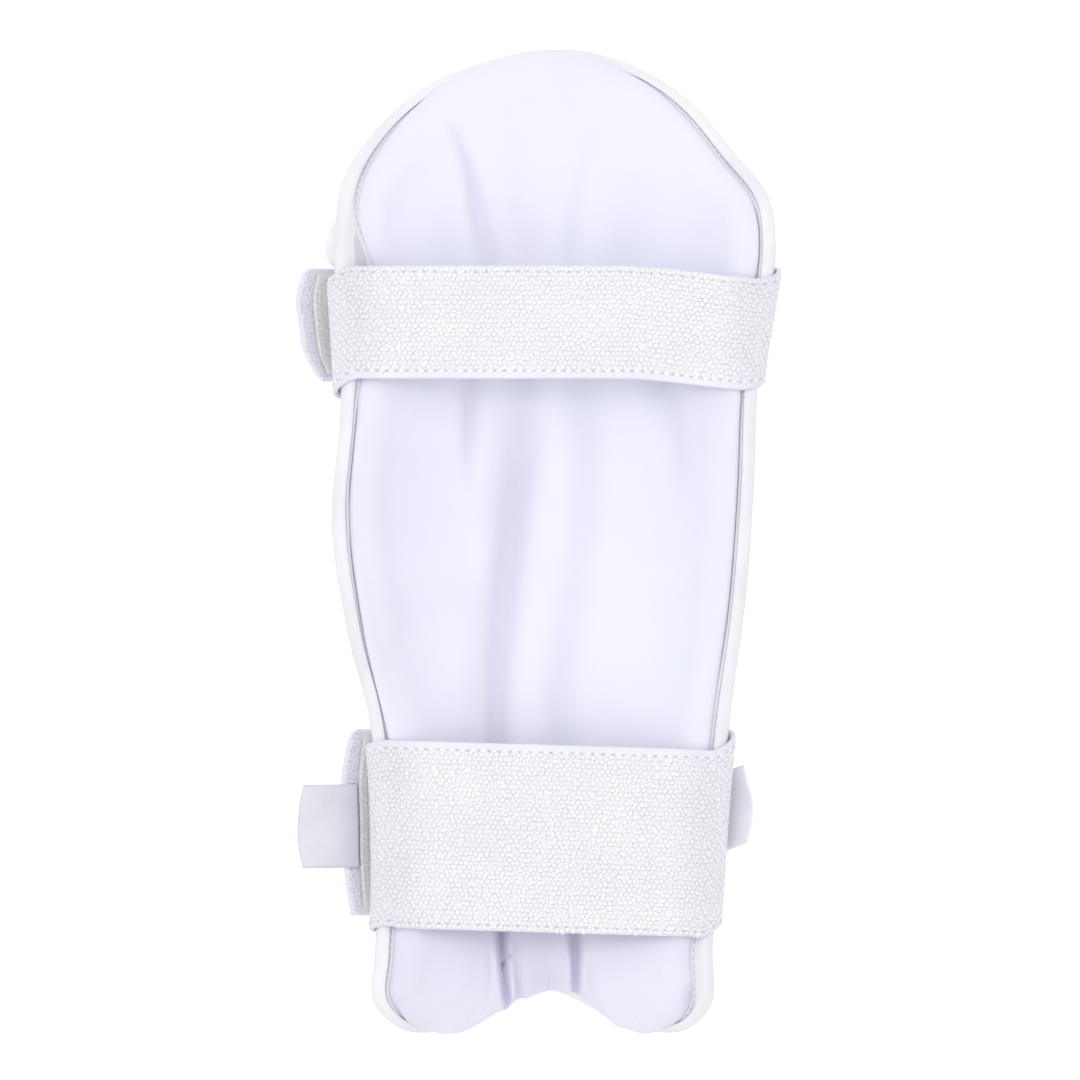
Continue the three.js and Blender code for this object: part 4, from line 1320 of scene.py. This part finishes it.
def band_piece(name, path, from_mm, to_mm, margin, base, thickness, material, lines=37):
    """A closed band along part of a path, rounded at its long edges and its ends."""
    stations = np.linspace(from_mm, to_mm, int((to_mm - from_mm) / 1.2) + 2)
    edge = thickness * 0.5
    turn = np.linspace(0, math.pi / 2, 6)
    side = margin + edge * (1 - np.cos(turn))
    rise = np.sin(turn)
    inner = np.linspace(margin + edge, path["width"] - margin - edge, lines)[1:-1]
    across = np.concatenate([side, inner, path["width"] - side[::-1]])
    swell = np.concatenate([rise, np.ones(len(inner)), rise[::-1]])
    half = thickness / 2
    close = np.minimum(stations - from_mm, to_mm - stations)
    end = np.sqrt(1 - (1 - np.clip(close / half, 0, 1)) ** 2)
    end = np.maximum(end, 0.15)[:, None]
    along, cross = np.broadcast_arrays(stations[:, None], across[None, :])
    cut = corner_inset(path, along) / path["width"]
    cross = path["width"] / 2 + (cross - path["width"] / 2) * (1 - 2 * cut)
    outer, _ = on_band(path, along, cross, base + half + half * swell * end)
    under, _ = on_band(path, along, cross, base + half - half * swell * end)
    rings = np.concatenate([outer, under[:, ::-1]], axis=1)
    piece = make_piece(name, *loft(rings), material)
    report(piece)
    return piece


bands = {
    name: band_piece(f"{name}_elastic", path, 0, path["length"][-1], 0, 0.15, 1.5, ground_painted_shade_finish)
    for name, path in paths.items()
}


# %% [markdown]
# ## Repeats by Geometry Nodes
# The elastic's face is a field of small yarn loops, its selvage a row of fine ribs, and
# every seam a row of stitches. One tree does all of them: it reads seats, which are single
# points with a facing and an along direction, puts a low squashed ball on each, turns it
# to its seat, varies its size a little with a fixed seed, and makes the lot real.

# %% The seat tree
def seat_tree():
    tree = bpy.data.node_groups.new("balls_on_seats", "GeometryNodeTree")
    sockets = {}
    inputs = [
        ("Seats", "NodeSocketGeometry", None), ("Length", "NodeSocketFloat", 0.0016),
        ("Width", "NodeSocketFloat", 0.0012), ("Height", "NodeSocketFloat", 0.0006),
        ("Variation", "NodeSocketFloat", 0.15), ("Spin", "NodeSocketFloat", 0.4),
        ("Seed", "NodeSocketInt", 4), ("Finish", "NodeSocketMaterial", None),
    ]
    for name, kind, value in inputs:
        socket = tree.interface.new_socket(name, in_out="INPUT", socket_type=kind)
        if value is not None:
            socket.default_value = value
        sockets[name] = socket.identifier
    tree.interface.new_socket("Pieces", in_out="OUTPUT", socket_type="NodeSocketGeometry")

    def add(kind, settings=None, inputs=None):
        return add_node(tree, kind, settings, inputs)

    given = add("NodeGroupInput").outputs
    vector = {"data_type": "FLOAT_VECTOR"}
    facing = add("GeometryNodeInputNamedAttribute", vector, {"Name": "facing"}).outputs[0]
    along = add("GeometryNodeInputNamedAttribute", vector, {"Name": "way"}).outputs[0]
    up = add("FunctionNodeAlignRotationToVector", {"axis": "Z"}, {"Vector": facing})
    turned = add(
        "FunctionNodeAlignRotationToVector", {"axis": "X", "pivot_axis": "Z"},
        {"Rotation": up.outputs[0], "Vector": along},
    )
    random = {"data_type": "FLOAT"}
    spin = add("FunctionNodeRandomValue", random, {3: given["Spin"], 8: given["Seed"]})
    about = add("ShaderNodeCombineXYZ", {}, {"Z": spin.outputs[1]})
    angle = add("FunctionNodeEulerToRotation", {}, {0: about.outputs[0]})
    rotation = add(
        "FunctionNodeRotateRotation", {"rotation_space": "LOCAL"},
        {0: turned.outputs[0], 1: angle.outputs[0]},
    )
    low = add("ShaderNodeMath", {"operation": "SUBTRACT"}, {0: 1.0, 1: given["Variation"]})
    other_seed = add("ShaderNodeMath", {"operation": "ADD"}, {0: given["Seed"], 1: 7.0})
    chances = {2: low.outputs[0], 3: 1.0, 8: other_seed.outputs[0]}
    size = add("FunctionNodeRandomValue", random, chances)
    times = {"operation": "MULTIPLY"}
    lengths = [given[key] for key in ("Length", "Width", "Height")]
    axes = [add("ShaderNodeMath", times, {0: length, 1: 0.5}) for length in lengths]
    scale = add("ShaderNodeCombineXYZ", {}, {i: a.outputs[0] for i, a in enumerate(axes)})
    sized = add(
        "ShaderNodeVectorMath", {"operation": "SCALE"},
        {0: scale.outputs[0], "Scale": size.outputs[1]},
    )
    ball = add("GeometryNodeMeshIcoSphere", {}, {"Radius": 1.0, "Subdivisions": 1})
    smooth = add("GeometryNodeSetShadeSmooth", {}, {0: ball.outputs[0]})
    placed = add(
        "GeometryNodeInstanceOnPoints", {},
        {"Points": given["Seats"], "Instance": smooth.outputs[0],
         "Rotation": rotation.outputs[0], "Scale": sized.outputs[0]},
    )
    real = add("GeometryNodeRealizeInstances", {}, {0: placed.outputs[0]})
    coloured = add(
        "GeometryNodeSetMaterial", {}, {"Geometry": real.outputs[0], "Material": given["Finish"]}
    )
    add("NodeGroupOutput", {}, {0: coloured.outputs[0]})
    return tree, sockets


seat_nodes, seat_sockets = seat_tree()


def balls_on_seats(name, points, facing, way, size, finish, variation=0.15, spin=0.4, seed=4):
    """A piece made of one small ball per seat; size is length, width and height in mm."""
    above_floor = np.maximum(points[:, 2], size[2] / 2 - shift[2])
    points = np.column_stack([points[:, :2], above_floor])
    mesh = bpy.data.meshes.new(name + "_seats")
    mesh.from_pydata(to_frame(points).tolist(), [], [])
    for key, values in (("facing", facing), ("way", way)):
        store = mesh.attributes.new(key, "FLOAT_VECTOR", "POINT")
        store.data.foreach_set("vector", np.ascontiguousarray(values, dtype=np.float32).ravel())
    seats = add_object(name + "_seats", mesh)
    repeat = seats.modifiers.new("repeat", "NODES")
    repeat.node_group = seat_nodes
    values = {
        "Length": size[0] * 0.001, "Width": size[1] * 0.001, "Height": size[2] * 0.001,
        "Variation": variation, "Spin": spin, "Seed": seed, "Finish": finish,
    }
    for key, value in values.items():
        repeat[seat_sockets[key]] = value
    ready = seats.evaluated_get(bpy.context.evaluated_depsgraph_get())
    made = bpy.data.meshes.new_from_object(ready)
    made.name = name
    for key in ("facing", "way"):
        if key in made.attributes:
            made.attributes.remove(made.attributes[key])
    piece = add_object(name, made)
    bpy.data.objects.remove(seats)
    report(piece)
    return piece


# %% [markdown]
# ## The elastic's loops
# The loops stand in staggered rows, close enough to overlap. Small seeded shifts break the
# rows up, as stretching does on the real elastic. One long edge of each elastic is a ribbed
# selvage, with a row of taller loops beside it, and a row of small dark beads along both
# edges is painted shadow for the slots there. The bare hem past the hook tape has loops on its inner
# face.

# %% Loop seats
loop_pitch = 1.68
row_pitch = 1.42
outer_face = 1.62
selvage = {"upper": "low", "lower": "high"}
selvage_width = 2.0
edge_pitch = 3.2
rib_pitch = 1.02
draw = np.random.default_rng(11)

# Length, width and height in mm, finish, how much the size varies, and the largest spin
elastic_balls = {
    "loops": ((3.0, 2.25, 0.56), loop_finish, 0.3, 2.6),
    "edge_loops": ((2.5, 2.0, 0.9), loop_finish, 0.12, 0.5),
    "painted_slot_shadows": ((1.25, 0.85, 0.34), painted_slot_shadow_finish, 0.25, 0.3),
    "ribs": ((0.74, 2.7, 1.75), rib_painted_shade_finish, 0.08, 0.05),
    "hem_loops": ((1.7, 1.25, 0.7), rib_painted_shade_finish, 0.2, 2.2),
}


def seat_facts(path, along, across, height):
    """Places, facings and the way along the band at given seats."""
    place, normal = on_band(path, along, across, height)
    ahead, _ = on_band(path, along + 0.6, across, height)
    behind, _ = on_band(path, along - 0.6, across, height)
    return place, normal, unit(ahead - behind)


def loop_seats(path, ribbed, start, end, margins=None, pitch=loop_pitch):
    """Staggered seats over one face of a band, along and across in mm."""
    low, high = margins or (
        (selvage_width + 1.6, 1.2) if ribbed == "low" else (1.2, selvage_width + 1.6)
    )
    count = int((path["width"] - low - high) / row_pitch) + 1
    across = np.linspace(low, path["width"] - high, count)
    along = np.arange(start, end, pitch)
    grid_along, grid_across = np.meshgrid(along, across, indexing="ij")
    grid_along = grid_along + (np.arange(count) % 2) * pitch / 2
    wave = 0.22 * np.sin(grid_across / 3.1 + grid_along / 9.0)
    grid_along = grid_along + draw.normal(0, 0.22, grid_along.shape) + wave
    grid_across = grid_across + draw.normal(0, 0.2, grid_across.shape)
    cut = corner_inset(path, np.minimum(grid_along, path["length"][-1])) + 0.5
    kept = (grid_along < end) & (grid_across > cut) & (grid_across < path["width"] - cut)
    return grid_along[kept], grid_across[kept]


def dress_elastic(name, path):
    ribbed = selvage[name]
    wide, long = path["width"], path["length"][-1]
    first, last = 1.2, long - 1.2
    pieces = []

    def add(kind, along, across, height, facing=1):
        """Puts one kind of ball on the band, on its inner face where facing is -1."""
        across = np.broadcast_to(across, along.shape)
        place, normal, way = seat_facts(path, along, across, np.full(along.shape, height))
        called = f"{name}_elastic_{kind}"
        pieces.append(balls_on_seats(called, place, facing * normal, way, *elastic_balls[kind]))

    add("loops", *loop_seats(path, ribbed, first, last), outer_face - 0.05)

    beside = selvage_width + 0.5 if ribbed == "low" else wide - selvage_width - 0.5
    along = np.arange(first + 1, last, edge_pitch)
    add("edge_loops", along + draw.normal(0, 0.12, along.shape), beside, 1.6)

    # Painted shadow: small dark beads where the slots along both edges lie in shade.
    rows_across = (beside, 1.9 if ribbed == "high" else wide - 1.9)
    along = np.arange(first + 2.6, last - 1.5, edge_pitch)
    along = np.concatenate([along + draw.normal(0, 0.1, along.shape) for _ in rows_across])
    add("painted_slot_shadows", along, np.repeat(rows_across, len(along) // 2), outer_face + 0.12)

    middle = selvage_width / 2 - 0.1 if ribbed == "low" else wide - selvage_width / 2 + 0.1
    add("ribs", np.arange(first, last - 2.2, rib_pitch), middle, 0.95)

    hem = loop_seats(path, ribbed, long - free_hem - 0.2, last, (1.0, 1.0), 1.15)
    add("hem_loops", *hem, 0.12, facing=-1)
    return pieces


elastic_parts = {name: dress_elastic(name, path) for name, path in paths.items()}
for name, path in paths.items():
    for piece in (bands[name], *elastic_parts[name]):
        paint_wrap_shade(piece, path)


# %% [markdown]
# ## Hook tapes
# A strip of hook tape is sewn to the inner face of each free end, with two rows of stitches
# across it near the end. Only its last few millimetres show beside the elastic.

# %% Hook tapes and their seams
tape_pieces, tape_seams = {}, {}
for name, path in paths.items():
    tape_start = path["marks"]["tape"] + 1.0
    tape_end = path["length"][-1] - free_hem - 1.0
    tape_pieces[name] = band_piece(
        f"{name}_hook_tape_strip", path, tape_start, tape_end, tape_margin,
        -clearance - tape_thickness + 0.1, tape_thickness, hook_finish,
    )
    seam_parts = []
    for back in (1.0, 2.6):
        across = np.arange(tape_margin + 1.2, path["width"] - tape_margin - 1, 2.0)
        along = np.full(across.shape, tape_end - back) + draw.normal(0, 0.06, across.shape)
        place, normal = on_band(path, along, across, np.full(across.shape, -1.42))
        aside, _ = on_band(path, along, across + 0.5, np.full(across.shape, -1.42))
        seam_parts.append((place, -normal, unit(aside - place)))
    joined = [np.concatenate(part) for part in zip(*seam_parts)]
    tape_seams[name] = balls_on_seats(
        f"{name}_hook_tape_seam", *joined, (1.7, 0.6, 0.45), tape_seam_finish, 0.1, 0.2
    )

# %% [markdown]
# ## Stitches round the binding
# The seam that holds the lining runs in the groove of the binding, 2.5 mm a stitch. The
# seats follow the same stations as the binding's own sweep.

# %% Binding stitches
stitch_pitch = 2.5


def groove_seats(depth_in, height):
    """Seats along the rim in steps of one stitch, at a distance in from the rim."""
    steps = np.arange(0, rim_length[-1], stitch_pitch)
    index = np.interp(steps, rim_length, np.arange(len(rim_length)))

    def read(grid):
        return np.stack([np.interp(index, np.arange(len(grid)), v) for v in grid.T], axis=-1)

    sign = 1 if height > 0 else -1
    place = read(in_section(-depth_in, height + 0 * depth_in))
    above = read(in_section(-depth_in, height + sign + 0 * depth_in))
    way = unit(np.roll(place, -1, axis=0) - np.roll(place, 1, axis=0))
    return place, unit(above - place), way


stitches = balls_on_seats(
    "binding_stitches", *groove_seats(leg - groove_in, seam_height - 0.1),
    (1.7, 0.66, 0.5), seam_finish, 0.1, 0.12,
)
front_stitches = balls_on_seats(
    "binding_front_stitches", *groove_seats(0 * leg + front_leg - groove_in, -2.95),
    (1.8, 0.6, 0.5), loop_finish, 0.1, 0.12,
)


# %% [markdown]
# ## The two tabs
# Both tabs are thin satin. Each leaves its seam and bends as it goes. Their ends aren't cut
# square: a short table gives how long each line across the tab is.

# %% Tabs
tab_thickness = 0.45
strap_tab = {
    "width": 27.0, "shift": -1.0, "rise": 38.0, "curl": -34.0,
    "turn": 0.0, "length": [19.6, 20.6, 21.0, 20.8, 20.0, 18.6],
}
care_tab = {
    "width": 26.0, "shift": 7.5, "rise": 38.0, "curl": 0.0, "seat": 0.66, "turn": 22.0,
    "length": [13.6, 14.8, 15.4, 14.8, 13.0, 11.4],
}


def tab_piece(name, starts, side, tab, wave, finish):
    """A bent sheet from a row of starting points, closed to a thin body."""
    lines = len(starts)
    shares = np.linspace(0, 1, lines)
    reach = smooth_curve(np.linspace(0, 1, len(tab["length"])), tab["length"], shares)
    steps = 26
    angle = np.radians(tab["rise"] + tab["curl"] * np.linspace(0, 1, steps + 1))
    run = np.concatenate([[0], np.cumsum(np.cos(angle[:-1]))]) / steps
    rise = np.concatenate([[0], np.cumsum(np.sin(angle[:-1]))]) / steps
    point = starts[None, :, :] + np.zeros((steps + 1, 1, 1))
    turn = math.radians(tab["turn"])
    point[..., 0] += side * math.cos(turn) * run[:, None] * reach
    point[..., 1] += math.sin(turn) * run[:, None] * reach
    point[..., 2] += rise[:, None] * reach
    go = np.linspace(0, 1, steps + 1)[:, None]
    ripple = wave * go * np.sin(shares * 2.2 * math.pi + 2.4 * go)
    normal = np.stack([-side * np.sin(angle), 0 * angle, np.cos(angle)], axis=-1)[:, None, :]
    point = point + normal * ripple[..., None]
    edge = np.minimum(shares, 1 - shares) * tab["width"]
    half = tab_thickness / 2 * np.sqrt(1 - (1 - np.clip(edge / 0.5, 0.05, 1)) ** 2)
    tip = np.sqrt(np.clip((1 - go) * steps / 1.5, 0.05, 1))
    lower = point + normal * (tab_thickness / 2 - half * tip)[..., None]
    upper = point + normal * (tab_thickness / 2 + half * tip)[..., None]
    piece = make_piece(name, *loft(np.concatenate([lower, upper[:, ::-1]], axis=1)), finish)
    report(piece)
    return piece


def add_tab_map(piece):
    """A UV map in millimetres, so that the satin's threads run along the tab."""
    layer_map = piece.data.uv_layers.new(name="along")
    points = np.array([v.co[:] for v in piece.data.vertices])
    low = points.min(axis=0)
    for loop in piece.data.loops:
        x, y, _ = (points[loop.vertex_index] - low) * 1000
        layer_map.data[loop.index].uv = (y, x)


lower_path = paths["lower"]
tab_lines = 23
tab_middle = lower_path["width"] / 2 + strap_tab["shift"]
across = tab_middle + np.linspace(-0.5, 0.5, tab_lines) * strap_tab["width"]
seam_along = np.full(across.shape, lower_path["length"][-1] - free_hem - 0.3)
starts, _ = on_band(lower_path, seam_along, across, np.full(across.shape, -0.75))
satin_label = tab_piece("satin_strap_tab", starts, -1, strap_tab, 0.5, tab_painted_shade_finish)

seat_x = care_tab["seat"] * half_width
tab_y = straps["lower"]["centre"] * half_length + care_tab["shift"]
tab_y = tab_y + np.linspace(-0.5, 0.5, tab_lines) * care_tab["width"]
seat, seat_normal = front_place(np.full(tab_y.shape, seat_x), tab_y, 0 * tab_y)
starts = seat + seat_normal * (elastic_thickness + clearance + 0.8)
satin_care = tab_piece("satin_care_tab", starts, 1, care_tab, 0.35, care_painted_light_finish)
for piece in (satin_label, satin_care):
    add_tab_map(piece)


# %% [markdown]
# ## What each piece stands for
# Every piece rides on the only body and hides the CAD nodes it replaces, if any.

# %% Riding and replacing
def belongs(piece, slot, *nodes):
    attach(piece, "root")
    if nodes:
        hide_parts(*nodes)


belongs(lining, "lining_fabric", "lining_pad")
belongs(shell, "coated_leather", "outer_pad")
belongs(binding, "coated_leather", "edge_binding")
belongs(stitches, "coated_leather")
belongs(front_stitches, "coated_leather")
for name in paths:
    belongs(bands[name], "elastic", f"{name}_strap")
    for piece in elastic_parts[name]:
        belongs(piece, "elastic")
    belongs(tape_pieces[name], "hook_tape", f"{name}_hook_tape")
    belongs(tape_seams[name], "hook_tape")
belongs(satin_label, "label_satin", "strap_label")
belongs(satin_care, "label_satin", "care_label")


# %% [markdown]
# ## Floor, light and camera
# The photograph is high-key: a white ground without shadows and soft light from all round,
# a little stronger from the upper left. The camera hangs far above and looks straight
# down, so that parallel edges stay parallel.

# %% Floor
def pale_floor():
    finish = Finish("pale_floor", {"Roughness": 0.9, "Emission Strength": 0.3})
    speckle = finish.noise(finish.place(), 30.0, 2.0)
    finish.colour(finish.tint(speckle, (0.86, 0.86, 0.86, 1), (0.9, 0.9, 0.9, 1)))
    finish.surface.inputs["Emission Color"].default_value = (1, 1, 1, 1)
    mesh = bpy.data.meshes.new("floor")
    reach = 4.0
    corners = [(-reach, -reach, 0), (reach, -reach, 0), (reach, reach, 0), (-reach, reach, 0)]
    mesh.from_pydata(corners, [], [(0, 1, 2, 3)])
    mesh.materials.append(finish.material)
    add_object("floor", mesh)


pale_floor()


# %% Light
def soft_lamp(name, where, size, power):
    data = bpy.data.lights.new(name, "AREA")
    data.shape = "DISK"
    data.size = size
    data.energy = power
    lamp = add_object(name, data)
    lamp.location = where
    lamp.rotation_euler = (-Vector(where)).to_track_quat("-Z", "Y").to_euler()


sky_at_horizon, sky_overhead = 0.6, 1.12
world = bpy.data.worlds.new("studio")
bpy.context.scene.world = world
world.use_nodes = True
background = world.node_tree.nodes["Background"]
sky = add_node(world.node_tree, "ShaderNodeTexCoord")
split = add_node(world.node_tree, "ShaderNodeSeparateXYZ", {}, {0: sky.outputs["Generated"]})
levels = {"Value": split.outputs["Z"], "To Min": sky_at_horizon, "To Max": sky_overhead}
level = add_node(world.node_tree, "ShaderNodeMapRange", {}, levels)
world.node_tree.links.new(level.outputs[0], background.inputs["Color"])
soft_lamp("key", (-0.3, 0.5, 1.8), 0.9, 5.0)
bpy.context.scene.view_settings.view_transform = "Standard"

# %% Camera
view_width = 0.3456
camera_height = 4.0
view_plane = 0.030
mm_per_pixel = 0.32
photo_middle, guard_middle = 540, 550  # pixel columns of the photograph
photo_centre = ((photo_middle - guard_middle) * mm_per_pixel, 0.0)
camera_data = bpy.data.cameras.new("camera")
camera_data.sensor_width = 36.0
camera_data.lens = 36.0 * (camera_height - view_plane) / view_width
camera_data.clip_end = 50.0
camera = add_object("camera", camera_data)
camera.location = (
    (photo_centre[0] + shift[0]) * 0.001, (photo_centre[1] + shift[1]) * 0.001, camera_height,
)
bpy.context.scene.camera = camera
print("camera at", [round(v, 4) for v in camera.location], "lens", round(camera_data.lens))
